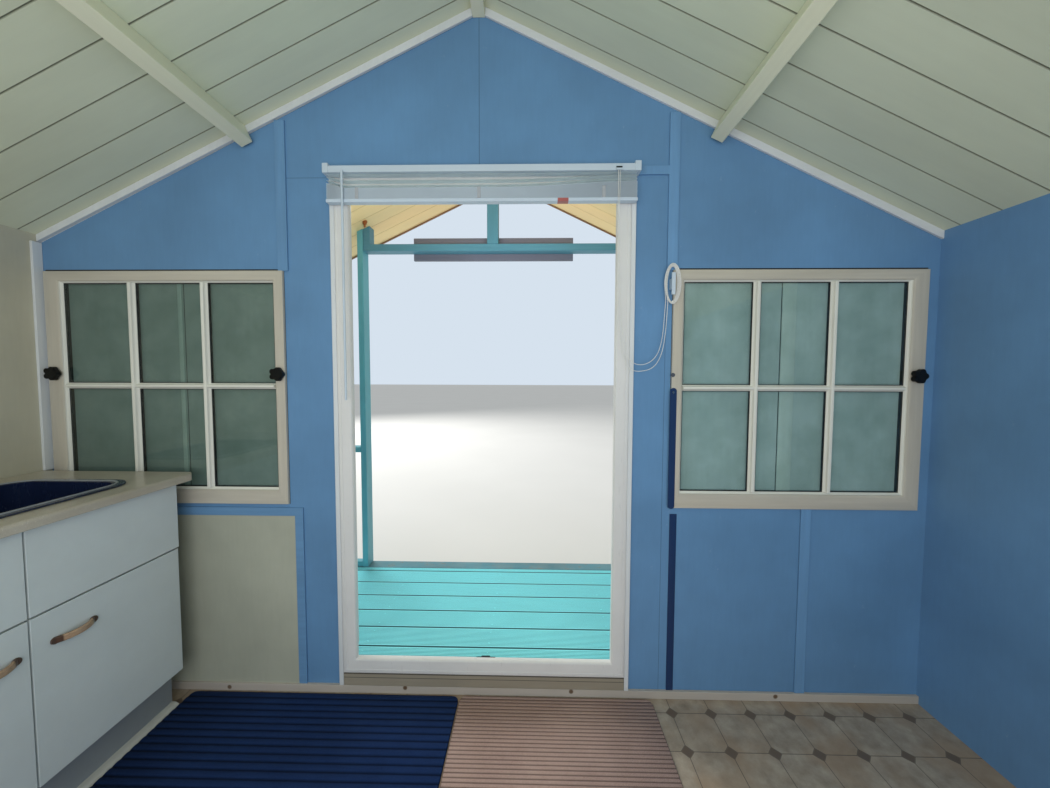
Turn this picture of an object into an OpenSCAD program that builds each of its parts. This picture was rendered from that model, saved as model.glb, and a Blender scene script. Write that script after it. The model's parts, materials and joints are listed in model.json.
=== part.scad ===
/* [Room] */
// Width of the room between the side walls
room_w = 3540; // [3000:10:4000]
// Depth of the room from the front wall to the rear wall
room_d = 2320; // [2000:10:3000]
// Height of the ridge soffit above the floor
ridge_h = 2721; // [2650:1:3000]
// Slope of the roof in degrees
pitch = 25.6; // [22:0.1:27]
// Thickness of a wall, boarded outside and lined inside
wall_t = 60; // [50:1:90]
/* [Ground and floor] */
// Height of a bearer
bearer_h = 75; // [50:1:150]
// Width of a bearer
bearer_w = 100; // [75:1:150]
// Number of bearers under the room and veranda
bearer_n = 5; // [4:1:7]
// Height of a joist
joist_h = 95; // [70:1:150]
// Thickness of a joist
joist_t = 47; // [38:1:63]
// Number of joists
joist_n = 7; // [5:1:11]
// Thickness of the floor boards
floor_t = 22; // [18:1:28]
// Thickness of the floor covering
cover_t = 3; // [2:0.5:5]
/* [Floor mats] */
// Length of the mats from the front wall into the room
mat_l = 1250; // [900:10:1800]
// Width of the wide ribbed mat
mat_wide = 1110; // [900:10:1200]
// Width of the narrow ribbed mat
mat_narrow = 780; // [600:10:900]
// Place where the two mats meet, from the ridge line
mat_x = 83; // [0:1:150]
// Thickness of a mat
mat_t = 8; // [5:0.5:12]
// Gap between the mats and the front wall
mat_gap = 22; // [15:1:60]
// Radius of a mat's corners
mat_r = 30; // [10:1:60]
/* [Roof] */
// Thickness of the roof boards
roof_t = 19; // [15:1:25]
// Thickness of the roofing felt
felt_t = 5; // [3:0.5:8]
// Reach of the roof in front of the front wall
front_overhang = 1240; // [1100:10:1500]
// Reach of the roof behind the rear wall
rear_overhang = 90; // [50:5:200]
// Reach of the roof past each side wall
side_overhang = 130; // [80:5:200]
// Depth of an eaves fascia
fascia_h = 95; // [70:1:140]
// Thickness of an eaves fascia
fascia_t = 18; // [12:1:25]
// Thickness of the trim on each sloping roof edge
verge_t = 14; // [8:1:25]
// Drop of that trim under the soffit
verge_drop = 8; // [4:1:40]
// Width of the ridge board
ridge_w = 48; // [35:1:60]
// Depth of the ridge board under the ridge
ridge_drop = 43; // [30:1:90]
// Distance of each purlin from the ridge, along X
purlin_x = 933; // [600:1:1200]
// Width of a purlin
purlin_w = 49; // [35:1:60]
// Depth of a purlin
purlin_h = 70; // [50:1:100]
/* [Doorway] */
// Width of the door frame
door_w = 1156; // [1000:1:1300]
// Offset of the doorway from the ridge line, along X
door_x = -10; // [-30:1:30]
// Height of the sill board under the door frame
sill_h = 86; // [60:1:110]
// Height of the door frame
door_h = 2004; // [1950:1:2040]
// Face width of the door frame
door_face = 55; // [45:1:80]
// Height of the door frame's bottom rail
door_low = 60; // [45:1:70]
// Width of the step that a leaf closes into
door_step = 33; // [10:1:40]
// Height of that step along the bottom rail
low_step = 38; // [10:1:44]
// Width of the white strips up the doorway's sides
jamb_w = 18; // [8:1:30]
// Depth of the inner stop of the door frame
stop_d = 24; // [15:1:35]
// How far the frames stand proud of the wall inside
frame_proud = 12; // [6:1:16]
// Thickness of a door leaf
leaf_t = 58; // [44:1:62]
// Face width of a leaf's own frame
leaf_face = 78; // [60:1:110]
// Clearance of a leaf in the frame
leaf_gap = 4; // [2:0.5:6]
// Stand-off of an opened leaf from the wall
leaf_off = 24; // [22:1:40]
// Radius of a hinge knuckle
knuckle_r = 9; // [8:0.5:11]
// Height of a hinge knuckle
knuckle_h = 90; // [60:1:120]
/* [Windows] */
// Width of a window frame
win_w = 970; // [800:5:975]
// Height of a window frame
win_h = 937; // [800:1:950]
// Height of the window frames above the floor
win_z = 792; // [700:1:800]
// Gap between the right window and its side wall
win_gap_right = 20; // [12:1:60]
// Gap between the left window and its side wall
win_gap_left = 45; // [12:1:60]
// Depth of a window frame
win_d = 33; // [26:1:45]
// Stile beside the side wall
stile_wall = 67; // [50:1:80]
// Stile beside the doorway
stile_door = 46; // [40:1:60]
// Top rail of a window frame
win_top = 45; // [35:1:70]
// Bottom rail of a window frame
win_bottom = 67; // [45:1:90]
// Width of an upright glazing bar
bar_w = 30; // [18:1:40]
// Height of the level glazing bar
bar_h = 23; // [18:1:40]
// Depth of a glazing bar in front of the glass
bar_d = 16; // [10:1:20]
// Thickness of the glass
glass_t = 4; // [3:1:6]
// Number of panes across a window
pane_n = 3; // [2:1:4]
// Thickness of an outside shutter
shutter_t = 16; // [12:1:18]
// Clearance of a shutter inside the wall's opening
shutter_play = 2; // [1:0.5:5]
// Gap between the two leaves of a shutter
split_gap = 3; // [2:0.5:6]
// Distance of that gap from the window's middle, towards the doorway
split_in = 27; // [0:1:60]
// Outer radius of a hand knob
knob_r = 28; // [18:1:30]
// Depth of a hand knob's head
knob_d = 16; // [12:1:30]
// Length of the knob's collar
collar_d = 5; // [4:1:14]
// Height of the knobs above the window's lower edge
knob_z = 528; // [400:1:600]
/* [Panelling] */
// Thickness of the wall battens
batten_t = 7; // [4:1:11]
// Width of the upright battens
batten_w = 40; // [30:1:60]
// Width of the level batten beside the door head
cross_h = 33; // [25:1:50]
// Thickness of the bare lower panel
panel_t = 4; // [3:1:7]
// Top of that panel above the floor
panel_top = 742; // [600:1:770]
// Edge of that panel from the ridge line
panel_edge = 758; // [700:1:800]
// Width of the blue border round the panel
border_w = 34; // [18:1:45]
// Centre of the right upright batten from the ridge line
seam_right = 780; // [740:1:820]
// Centre of the left upright batten from the ridge line
seam_left = 750; // [720:1:780]
// Centre of the batten under the left window
low_seam = 1298; // [1200:1:1400]
// Width of the white trim along the roof slope
rake_w = 28; // [20:1:40]
// Thickness of the white trims
rake_t = 11; // [6:1:14]
// Width of the strip in the right front corner
corner_w = 32; // [20:1:45]
// Height of the bare strip along the foot of the wall
foot_h = 32; // [15:1:40]
// Thickness of that strip
foot_t = 12; // [8:1:16]
/* [Blind] */
// Reach of the headrail past the door frame
blind_over = 25; // [5:1:40]
// Overlap of the headrail below the top of the door frame
head_lap = 3; // [0:1:20]
// Height of the headrail
head_h = 25; // [20:1:50]
// Depth of the headrail
head_d = 28; // [24:1:40]
// Height of the raised slats
stack_h = 97; // [60:1:120]
// Distance of the slats' ends from the headrail's ends
rail_in = 13; // [8:1:40]
// Depth of a slat
slat_d = 25; // [16:1:27]
// Number of slats drawn
slat_n = 20; // [8:1:24]
// Thickness of a drawn slat
slat_t = 2; // [1.5:0.1:3]
// Width of a ladder tape
tape_w = 12; // [8:1:25]
// Height of the bottom rail
rail_h = 12; // [8:1:30]
// Length of the tilt wand
wand_l = 872; // [600:1:950]
// Diameter of the tilt wand
wand_dia = 9; // [6:0.5:10]
// Distance of the wand from the headrail's end
wand_in = 77; // [60:1:200]
// Distance of the cord lock from the headrail's other end
lock_in = 82; // [60:1:200]
// Diameter of a lift cord
cord_dia = 2.4; // [1.6:0.1:3]
/* [Cleat] */
// Height of the cleat
cleat_h = 84; // [60:1:120]
// Width of the cleat
cleat_w = 14; // [10:1:20]
// How far the cleat stands out
cleat_d = 30; // [26:1:36]
// Thickness of the cleat's horns
horn_t = 5.5; // [4:0.5:8]
// Height of the wound cord
wind_h = 160; // [120:1:200]
// Width of the wound cord
wind_w = 70; // [36:1:80]
// Depth of the wound cord
wind_d = 11.5; // [8:0.5:13]
/* [Veranda] */
// Depth of the veranda floor in front of the wall
deck_d = 1040; // [900:5:1150]
// Thickness of a deck board
deck_t = 24; // [18:1:28]
// Width of a deck board
deck_w = 137; // [95:1:150]
// Gap between deck boards
deck_gap = 4; // [2:0.5:8]
// Width of the ripped board next to the edge board
rip_w = 38; // [25:1:60]
// Width of the edge board
edge_w = 88; // [80:1:120]
// Thickness of the board that closes the front of the deck
face_t = 20; // [15:1:30]
// Width of a veranda post
post_w = 38; // [35:1:90]
// Depth of a veranda post
post_d = 88; // [60:1:88]
// Distance of the inner posts from the ridge line
post_x = 935; // [850:1:1150]
// Height of the tie beam above the floor
tie_z = 2138; // [2100:1:2160]
// Height of the tie beam's section
tie_h = 46; // [40:1:60]
// Depth of the tie beam's section
tie_d = 75; // [50:1:88]
// Length of the packing block on each end of the tie beam
block_w = 44; // [30:1:80]
// Width of the king post
king_w = 73; // [45:1:90]
// Sideways place of the king post
king_x = 57; // [0:1:80]
// Sideways place of the name board
board_x = 61; // [0:1:90]
// Width of the name board
board_w = 1080; // [600:5:1300]
// Height of the name board
board_h = 152; // [90:1:180]
// Thickness of the name board
board_t = 20; // [12:1:30]
// Lower edge of the name board above the floor
board_z = 2095; // [2060:1:2130]
// Height of the hand rail's top above the deck
rail_top = 830; // [700:5:1000]
// Height of the hand rail's section
rail_sec = 36; // [30:1:50]
// Depth of the hand rail
rail_d = 78; // [50:1:88]
// Width of the bottom rail
low_d = 47; // [35:1:60]
// Height of the bottom rail
low_h = 37; // [25:1:60]
/* [Base unit] */
// Gap between the front wall and the unit
unit_gap = 84; // [60:1:110]
// Depth of the unit from the side wall to its door faces
unit_d = 600; // [500:5:620]
// Thickness of a unit panel
panel_board = 16; // [15:1:19]
// Height of the plinth
plinth_h = 150; // [100:1:150]
// Set-back of the plinth from the carcass front
plinth_in = 31; // [20:1:60]
// Thickness of a cupboard door
cup_t = 18; // [16:1:22]
// Width of a cupboard door
cup_w = 438; // [380:1:460]
// Gap between the two cupboard doors
cup_gap = 5; // [5:0.5:8]
// Clearance between a door's back and the carcass
cup_off = 6; // [6:0.5:8]
// Lower edge of the cupboard doors above the floor
cup_z = 155; // [154:1:160]
// Height of a cupboard door
cup_h = 485; // [440:1:500]
// Gap over the cupboard doors
cup_over = 6; // [6:0.5:9]
// Height of the worktop's top above the floor
top_z = 928; // [880:1:950]
// Thickness of the worktop
top_t = 30; // [28:1:50]
// Worktop's reach past the door faces
top_over = 30; // [15:1:45]
// Gap between the worktop and the front wall
top_gap = 30; // [15:1:45]
// Size of the cut on the worktop's front corners
corner_cut = 14; // [5:1:30]
// Radius of the worktop's front edge
top_r = 10; // [4:1:14]
// Length of the sink along the wall
sink_l = 520; // [420:5:600]
// Width of the sink
sink_w = 440; // [380:5:460]
// Distance from the front wall to the sink
sink_y = 166; // [150:1:220]
// Distance from the side wall to the sink
sink_x = 112; // [60:1:140]
// Width of the sink's rim
sink_rim = 34; // [24:1:50]
// Depth of the bowl
bowl_h = 160; // [120:1:200]
// Wall of the bowl
bowl_t = 4; // [2:0.5:8]
// Radius of the bowl's corners
bowl_r = 60; // [30:1:90]
// Height of the rim above the worktop
rim_h = 6; // [3:0.5:12]
// Radius of a pivot pin
pin_r = 3; // [2:0.25:4]
// Length of a pivot pin in the door
pin_l = 12; // [8:1:20]
// Clearance round a pivot pin
pin_c = 0.3; // [0.2:0.05:0.5]
// Distance of the pivot from the door's end
pivot_in = 9; // [8:0.5:10]
// Thickness of a pivot plate
plate_t = 2.5; // [2:0.1:3]
// Distance between a handle's fixings
grip_l = 96; // [64:1:128]
// How far a handle stands out
grip_d = 26; // [20:1:35]
// Thickness of a handle's bar
grip_t = 9; // [6:0.5:12]
// Height of a handle's bar
grip_h = 20; // [14:1:26]
// Height of the handles above the floor
grip_z = 548; // [400:1:600]
// Distance of the far handle's centre from the meeting edge
grip_far = 97; // [60:1:160]
// Distance of the near handle's centre from the meeting edge
grip_near = 76; // [60:1:160]
/* [Hidden] */
$fn = 48;
seat = 0.3;
play = 0.02;
cut = 1;

// Levels: the ground is at 0 and the finished floor at floor_z
joist_z = bearer_h;
board_top = bearer_h + joist_h + floor_t;
floor_z = board_top + cover_t;
deck_z = bearer_h + joist_h + deck_t;

// Places along Y: the veranda is at the front, towards -Y, and the middle of the roof is at 0
half_y = (front_overhang + 2 * wall_t + room_d + rear_overhang + 2 * verge_t) / 2;
roof_y0 = -half_y + verge_t;
out_y = roof_y0 + front_overhang;
in_y = out_y + wall_t;
back_y = in_y + room_d;
rear_y = back_y + wall_t;
roof_y1 = half_y - verge_t;
deck_y = out_y - deck_d;
win_right_x = room_w / 2 - win_gap_right - win_w / 2;
win_left_x = room_w / 2 - win_gap_left - win_w / 2;

// Places along X
half_in = room_w / 2;
half_out = half_in + wall_t;
eave_x = half_out + side_overhang;

// Roof slope: soffit height at a distance from the ridge, and upright thickness of a layer
function soffit(x) = floor_z + ridge_h - abs(x) * tan(pitch);
function upright(t) = t / cos(pitch);

module box(x0, x1, y0, y1, z0, z1) {
    translate([x0, y0, z0]) cube([x1 - x0, y1 - y0, z1 - z0]);
}

// A profile in X and Z, carried along Y
module along_y(y0, y1) {
    translate([0, y1, 0]) rotate([90, 0, 0]) linear_extrude(y1 - y0) children();
}

// A profile in Y and Z, carried along X
module along_x(x0, x1) {
    translate([x0, 0, 0]) rotate([90, 0, 90]) linear_extrude(x1 - x0) children();
}

// A flat layer on one roof slope, between two distances from the ridge
module slope_layer(side, x0, x1, drop, t) {
    polygon([[side * x0, soffit(x0) + drop], [side * x1, soffit(x1) + drop],
        [side * x1, soffit(x1) + drop + t], [side * x0, soffit(x0) + drop + t]]);
}

// A layer over both slopes that meets at the ridge
module ridge_layer(x1, drop, t) {
    polygon([[-x1, soffit(x1) + drop], [0, soffit(0) + drop], [x1, soffit(x1) + drop],
        [x1, soffit(x1) + drop + t], [0, soffit(0) + drop + t], [-x1, soffit(x1) + drop + t]]);
}

module round_rect(x0, x1, y0, y1, r) {
    translate([x0 + r, y0]) square([x1 - x0 - 2 * r, y1 - y0]);
    translate([x0, y0 + r]) square([x1 - x0, y1 - y0 - 2 * r]);
    for (x = [x0 + r, x1 - r])
        for (y = [y0 + r, y1 - r])
            translate([x, y]) circle(r);
}

// Ground and floor
module bearers() {
    step = (rear_y - deck_y - bearer_w) / (bearer_n - 1);
    color("dimgray")
        for (i = [0 : bearer_n - 1])
            box(-half_out, half_out, deck_y + i * step, deck_y + i * step + bearer_w, 0, bearer_h);
}

module floor_joists() {
    step = (2 * half_out - joist_t) / (joist_n - 1);
    color("tan")
        for (i = [0 : joist_n - 1])
            translate([-half_out + i * step, deck_y + face_t, joist_z])
                cube([joist_t, rear_y - deck_y - face_t, joist_h]);
}

module floor_boards() {
    color("burlywood")
        box(-half_out, half_out, out_y, rear_y, joist_z + joist_h, board_top);
}

module floor_covering() {
    color("gray")
        box(-half_in, half_in, in_y, back_y, board_top, floor_z);
}

module mat(x0, x1) {
    translate([0, 0, floor_z]) linear_extrude(mat_t)
        round_rect(x0, x1, in_y + mat_gap, in_y + mat_gap + mat_l, mat_r);
}

module floor_mats() {
    color("navy") {
        mat(mat_x + 2, mat_x + mat_wide);
        mat(mat_x - mat_narrow, mat_x - 2);
    }
}

// Walls
module window_hole(x, side) {
    box(side * x - win_w / 2, side * x + win_w / 2, out_y - cut, in_y + cut,
        floor_z + win_z, floor_z + win_z + win_h);
}

module front_side(side, x) {
    edge = door_x + side * door_w / 2;
    difference() {
        along_y(out_y, in_y)
            polygon([[edge, board_top], [side * half_out, board_top],
                [side * half_out, soffit(half_out)], [edge, soffit(abs(edge))]]);
        window_hole(x, side);
    }
}

module front_wall_left() {
    color("cornflowerblue") front_side(-1, win_left_x);
}

module front_wall_right() {
    color("cornflowerblue") front_side(1, win_right_x);
}

module front_gable() {
    left = door_x - door_w / 2;
    right = door_x + door_w / 2;
    low = floor_z + sill_h + door_h;
    color("cornflowerblue")
        along_y(out_y, in_y)
            polygon([[left, low], [right, low], [right, soffit(right) - play],
                [0, soffit(0) - play], [left, soffit(abs(left)) - play]]);
}

module side_wall(side) {
    along_y(in_y, back_y)
        polygon([[side * half_in, board_top], [side * half_out, board_top],
            [side * half_out, soffit(half_out)], [side * half_in, soffit(half_in)]]);
}

module side_wall_left() {
    color("cornflowerblue") side_wall(-1);
}

module side_wall_right() {
    color("antiquewhite") side_wall(1);
}

module rear_wall() {
    color("cornflowerblue")
        along_y(back_y, rear_y)
            polygon([[-half_out, board_top], [half_out, board_top], [half_out, soffit(half_out)],
                [0, soffit(0)], [-half_out, soffit(half_out)]]);
}

// Battens on the inside of the front wall
win_top_z = floor_z + win_z + win_h;
cross_z = floor_z + sill_h + door_h;

module upright_batten(x, z0) {
    along_y(in_y, in_y + batten_t)
        polygon([[x - batten_w / 2, z0], [x + batten_w / 2, z0],
            [x + batten_w / 2, soffit(abs(x) + batten_w / 2) - upright(rake_w)],
            [x - batten_w / 2, soffit(abs(x) + batten_w / 2) - upright(rake_w)]]);
}

module wall_battens() {
    panel_z = floor_z + panel_top;
    sill_z = floor_z + foot_h;
    color("steelblue") {
        upright_batten(seam_right, win_top_z);
        difference() {
            upright_batten(-seam_left, win_top_z);
            box(-half_out, 0, in_y, in_y + batten_t + cut, cross_z, cross_z + cross_h);
        }
        box(-seam_left - batten_w / 2, door_x - blind_w / 2 - seat, in_y, in_y + batten_t,
            cross_z, cross_z + cross_h);
        box(panel_edge - border_w, half_in, in_y, in_y + batten_t, panel_z, panel_z + border_w);
        box(panel_edge - border_w, panel_edge, in_y, in_y + batten_t, sill_z, panel_z);
        box(-low_seam - batten_w / 2, -low_seam + batten_w / 2, in_y, in_y + batten_t, sill_z,
            floor_z + win_z);
    }
}

module lower_panel() {
    color("tan")
        box(panel_edge, half_in, in_y, in_y + panel_t, floor_z + foot_h, floor_z + panel_top);
}

// White trims: along the slopes, up the doorway's sides and in one corner
module rake_pair(y0, y1) {
    for (side = [-1, 1])
        along_y(y0, y1)
            slope_layer(side, ridge_w / 2, half_in, -upright(rake_w), upright(rake_w));
}

module inside_trims() {
    color("white") {
        rake_pair(in_y, in_y + rake_t);
        rake_pair(back_y - rake_t, back_y);
        for (side = [-1, 1])
            translate([door_x + side * (door_w + jamb_w) / 2 - jamb_w / 2, in_y,
                    floor_z + foot_h])
                cube([jamb_w, frame_proud + seat, head_z - end_lap - floor_z - foot_h]);
        box(half_in - rake_t, half_in, in_y, in_y + corner_w, floor_z + top_z,
            soffit(half_in) - upright(rake_w));
    }
}

module wall_foot_strips() {
    color("burlywood")
        box(-half_in, half_in, in_y, in_y + foot_t, floor_z, floor_z + foot_h);
}

// Roof
module roof_boards_left() {
    color("ivory")
        along_y(roof_y0, roof_y1) slope_layer(-1, 0, eave_x, 0, upright(roof_t));
}

module roof_boards_right() {
    color("ivory")
        along_y(roof_y0, roof_y1) slope_layer(1, 0, eave_x, 0, upright(roof_t));
}

module roof_felt() {
    color("slategray")
        along_y(-half_y, half_y)
            ridge_layer(eave_x + fascia_t, upright(roof_t), upright(felt_t));
}

module eaves_fascias() {
    top = soffit(eave_x + fascia_t) + upright(roof_t);
    color("turquoise")
        for (side = [-1, 1])
            translate([side * (eave_x + fascia_t / 2) - fascia_t / 2, -half_y, top - fascia_h])
                cube([fascia_t, 2 * half_y, fascia_h]);
}

module verge_trims() {
    color("saddlebrown")
        for (y = [-half_y, roof_y1])
            along_y(y, y + verge_t)
                ridge_layer(eave_x, -upright(verge_drop), upright(verge_drop + roof_t));
}

module ridge_board() {
    half = ridge_w / 2;
    low = soffit(0) - ridge_drop;
    color("ivory")
        along_y(in_y, back_y)
            polygon([[-half, low], [half, low], [half, soffit(half)], [0, soffit(0)],
                [-half, soffit(half)]]);
}

module purlins() {
    color("ivory")
        for (side = [-1, 1])
            along_y(in_y + rake_t, back_y - rake_t)
                translate([side * purlin_x, soffit(purlin_x)])
                    rotate(-side * pitch)
                        translate([-purlin_w / 2, -purlin_h - seat])
                            square([purlin_w, purlin_h]);
}

// Doorway
module door_sill() {
    color("burlywood") translate([door_x, 0, 0]) {
        box(-door_w / 2, door_w / 2, out_y, in_y, floor_z, floor_z + sill_h);
        box(-door_w / 2, door_w / 2, in_y - seat, in_y + frame_proud, floor_z + foot_h,
            floor_z + sill_h);
    }
}

module door_ring(step, low_cut) {
    side = door_face - step;
    low = door_low - low_cut;
    difference() {
        translate([-door_w / 2, floor_z + sill_h]) square([door_w, door_h]);
        translate([-door_w / 2 + side, floor_z + sill_h + low])
            square([door_w - 2 * side, door_h - side - low]);
    }
}

knuckle_y = out_y - leaf_off / 2;
leaf_w = door_w / 2 - door_face + door_step - leaf_gap;
leaf_h = door_h - door_face - door_low + door_step + low_step - 2 * leaf_gap;
leaf_x = door_w / 2 - door_face + door_step;
pin_x = door_w / 2 - knuckle_r;
fold_x = 2 * pin_x - leaf_x;
flag_w = 20;
flag_t = 5;
leaf_z = floor_z + sill_h + door_low - low_step + leaf_gap;

module door_frame() {
    stop_y = in_y + frame_proud - stop_d;
    lift = leaf_h / 10;
    color("white") translate([door_x, 0, 0]) {
        along_y(stop_y, in_y + frame_proud) door_ring(0, 0);
        along_y(out_y, stop_y) door_ring(door_step, low_step);
        for (side = [-1, 1])
            for (z = [leaf_z + lift, leaf_z + (leaf_h - knuckle_h) / 2,
                    leaf_z + leaf_h - lift - knuckle_h])
                mirror([side < 0 ? 1 : 0, 0, 0]) translate([pin_x, 0, z]) {
                    translate([0, knuckle_y, 0]) cylinder(r = knuckle_r, h = knuckle_h);
                    box(-knuckle_r, knuckle_r, knuckle_y, out_y, 0, knuckle_h);
                    box(-knuckle_r, fold_x - pin_x + flag_w, out_y - leaf_off + seat,
                        out_y - leaf_off + seat + flag_t, 0, knuckle_h);
                }
    }
}

module door_leaf(side) {
    x0 = side > 0 ? fold_x : -fold_x - leaf_w;
    y1 = out_y - leaf_off;
    translate([door_x, y1, 0]) rotate([90, 0, 0]) linear_extrude(leaf_t)
        difference() {
            translate([x0, leaf_z]) square([leaf_w, leaf_h]);
            translate([x0 + leaf_face, leaf_z + leaf_face])
                square([leaf_w - 2 * leaf_face, leaf_h - 2 * leaf_face]);
        }
}

module door_leaf_left() {
    color("white") door_leaf(-1);
}

module door_leaf_right() {
    color("white") door_leaf(1);
}

// Windows: a frame with upright and level bars in front of one sheet of glass
module window_frame(side, x) {
    x0 = x - win_w / 2;
    z0 = floor_z + win_z;
    clear_w = win_w - stile_door - stile_wall;
    clear_h = win_h - win_top - win_bottom;
    pane_w = (clear_w - (pane_n - 1) * bar_w) / pane_n;
    mirror([side < 0 ? 1 : 0, 0, 0]) {
        along_y(in_y + frame_proud - win_d, in_y + frame_proud)
            difference() {
                translate([x0, z0]) square([win_w, win_h]);
                translate([x0 + stile_door, z0 + win_bottom]) square([clear_w, clear_h]);
            }
        for (i = [1 : pane_n - 1])
            translate([x0 + stile_door + i * pane_w + (i - 1) * bar_w,
                    in_y + frame_proud - bar_d, z0 + win_bottom])
                cube([bar_w, bar_d, clear_h]);
        translate([x0 + stile_door, in_y + frame_proud - bar_d,
                z0 + win_bottom + (clear_h - bar_h) / 2])
            cube([clear_w, bar_d, bar_h]);
    }
}

module window_frame_left() {
    color("linen") window_frame(-1, win_left_x);
}

module window_frame_right() {
    color("linen") window_frame(1, win_right_x);
}

module window_sheet(side, x) {
    mirror([side < 0 ? 1 : 0, 0, 0])
        box(x - win_w / 2 + stile_door, x + win_w / 2 - stile_wall,
            in_y + frame_proud - bar_d - glass_t, in_y + frame_proud - bar_d,
            floor_z + win_z + win_bottom, floor_z + win_z + win_h - win_top);
}

module glass_panes() {
    leaf_mid = out_y - leaf_off - leaf_t / 2;
    color("lightblue", 0.5) {
        window_sheet(-1, win_left_x);
        window_sheet(1, win_right_x);
        translate([door_x, 0, 0])
            for (side = [-1, 1])
                mirror([side < 0 ? 1 : 0, 0, 0])
                    box(fold_x + leaf_face, fold_x + leaf_w - leaf_face, leaf_mid - glass_t,
                        leaf_mid + glass_t, leaf_z + leaf_face, leaf_z + leaf_h - leaf_face);
    }
}

module shutter(side, x) {
    reach = win_w / 2 - shutter_play;
    y1 = in_y + frame_proud - win_d;
    mirror([side < 0 ? 1 : 0, 0, 0])
        difference() {
            box(x - reach, x + reach, y1 - shutter_t, y1, floor_z + win_z + shutter_play,
                win_top_z - shutter_play);
            box(x - split_in - split_gap / 2, x - split_in + split_gap / 2,
                y1 - shutter_t - cut, y1 + cut, 0, 2 * win_top_z);
        }
}

module window_shutters() {
    color("turquoise") {
        shutter(-1, win_left_x);
        shutter(1, win_right_x);
    }
}

module hand_knob(x) {
    lobe_n = 5;
    lobe_r = knob_r * 0.38;
    translate([x, in_y + frame_proud, floor_z + win_z + knob_z])
        rotate([-90, 0, 0]) {
            cylinder(r = knob_r * 0.4, h = collar_d);
            translate([0, 0, collar_d])
                linear_extrude(knob_d) {
                    circle(knob_r - lobe_r);
                    for (i = [0 : lobe_n - 1])
                        rotate((i + 0.5) * 360 / lobe_n)
                            translate([knob_r - lobe_r, 0]) circle(lobe_r);
                }
        }
}

module window_knobs() {
    color("black") {
        hand_knob(win_right_x + win_w / 2 - stile_wall / 2);
        hand_knob(win_right_x - win_w / 2 + stile_door / 2);
        hand_knob(-win_left_x - win_w / 2 + stile_wall / 2);
    }
}

// Blind, drawn up over the doorway
head_z = floor_z + sill_h + door_h - head_lap;
head_y = in_y + frame_proud + 4;
end_w = 22;
end_lap = 2;
end_rise = 9;
blind_w = door_w + 2 * blind_over;
slat_w = blind_w - 2 * rail_in;
stack_top = head_z - end_lap;
lock_x = door_x + lock_in - blind_w / 2;
lock_z = head_z - end_lap;
lock_w = 22;
lock_d = 8;
lock_h = 18;
wand_x = blind_w / 2 - wand_in;
wand_link = 1;
link_h = 6;

module blind_headrail() {
    color("white") {
        translate([door_x, 0, 0]) {
            difference() {
                box(-blind_w / 2, blind_w / 2, head_y, head_y + head_d, head_z,
                    head_z + head_h);
                box(-blind_w / 2 + end_w, blind_w / 2 - end_w, head_y + end_lap,
                    head_y + head_d - end_lap, head_z + end_lap, head_z + head_h + cut);
            }
            for (side = [-1, 1])
                translate([side * (blind_w / 2 - end_w / 2) - end_w / 2, in_y,
                        head_z - end_lap + seat])
                    cube([end_w, head_y + head_d + end_lap - in_y, head_h + end_lap + end_rise]);
        }
        box(lock_x - lock_w / 2, lock_x + lock_w / 2, head_y + head_d, head_y + head_d + lock_d,
            lock_z, lock_z + lock_h);
    }
}

slat_y = head_y + (head_d - slat_d) / 2;
tape_share = 0.397;
tape_xs = [-tape_share * slat_w, 0, tape_share * slat_w];

module blind_slats() {
    step = (stack_h - slat_t) / (slat_n - 1);
    color("white") translate([door_x, 0, stack_top - stack_h]) {
        for (i = [0 : slat_n - 1])
            translate([-slat_w / 2, slat_y, i * step]) cube([slat_w, slat_d, slat_t]);
        for (x = tape_xs)
            translate([x - tape_w / 2, slat_y, 0]) cube([tape_w, slat_d, stack_h + end_lap]);
    }
}

module blind_bottom_rail() {
    color("white")
        translate([door_x, 0, stack_top - stack_h - rail_h])
            box(-slat_w / 2 - end_lap, slat_w / 2 + end_lap, slat_y - 1, slat_y + slat_d + 1, 0,
                rail_h);
}

wand_top_z = head_z + head_h / 5;

module tilt_wand() {
    wand_y = head_y + head_d + wand_dia / 2 + wand_link;
    link_z = wand_top_z - link_h;
    color("white") translate([door_x, 0, 0]) {
        translate([wand_x, wand_y, wand_top_z - wand_l]) cylinder(d = wand_dia, h = wand_l);
        box(wand_x - end_lap, wand_x + end_lap, head_y + head_d, wand_y, link_z, link_z + link_h);
    }
}

// Lift cords: hand-chosen points, as offsets from the underside of the cord lock. They suit a
// cleat 217 aside and 413 down, and stretch to the place where the cleat is
cord_a = [[-3, 47, 0], [-3, 47, -45], [-3, 47, -165], [-5, 47, -295], [-9, 46, -415],
    [-15, 44, -525], [-22, 41, -595], [-32, 38, -655], [-44, 36, -690], [-59, 34, -710],
    [-77, 32, -721], [-99, 30, -724], [-123, 29, -718], [-144, 28, -704], [-161, 27, -681],
    [-173, 26, -647], [-181, 25, -599], [-186, 24, -535], [-190, 23, -475], [-197, 22, -420]];
cord_b = [[3, 47, 0], [3, 47, -45], [3, 47, -165], [1, 47, -295], [-1, 46, -415], [-5, 44, -530],
    [-12, 41, -610], [-22, 38, -675], [-35, 36, -715], [-53, 34, -738], [-75, 32, -748],
    [-103, 30, -748], [-131, 29, -741], [-153, 28, -725], [-170, 27, -697], [-182, 26, -659],
    [-190, 25, -605], [-195, 24, -540], [-198, 23, -485], [-203, 22, -440]];
cord_span = [217, 413];
cord_sides = 8;
cord_sub = 2;

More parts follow.
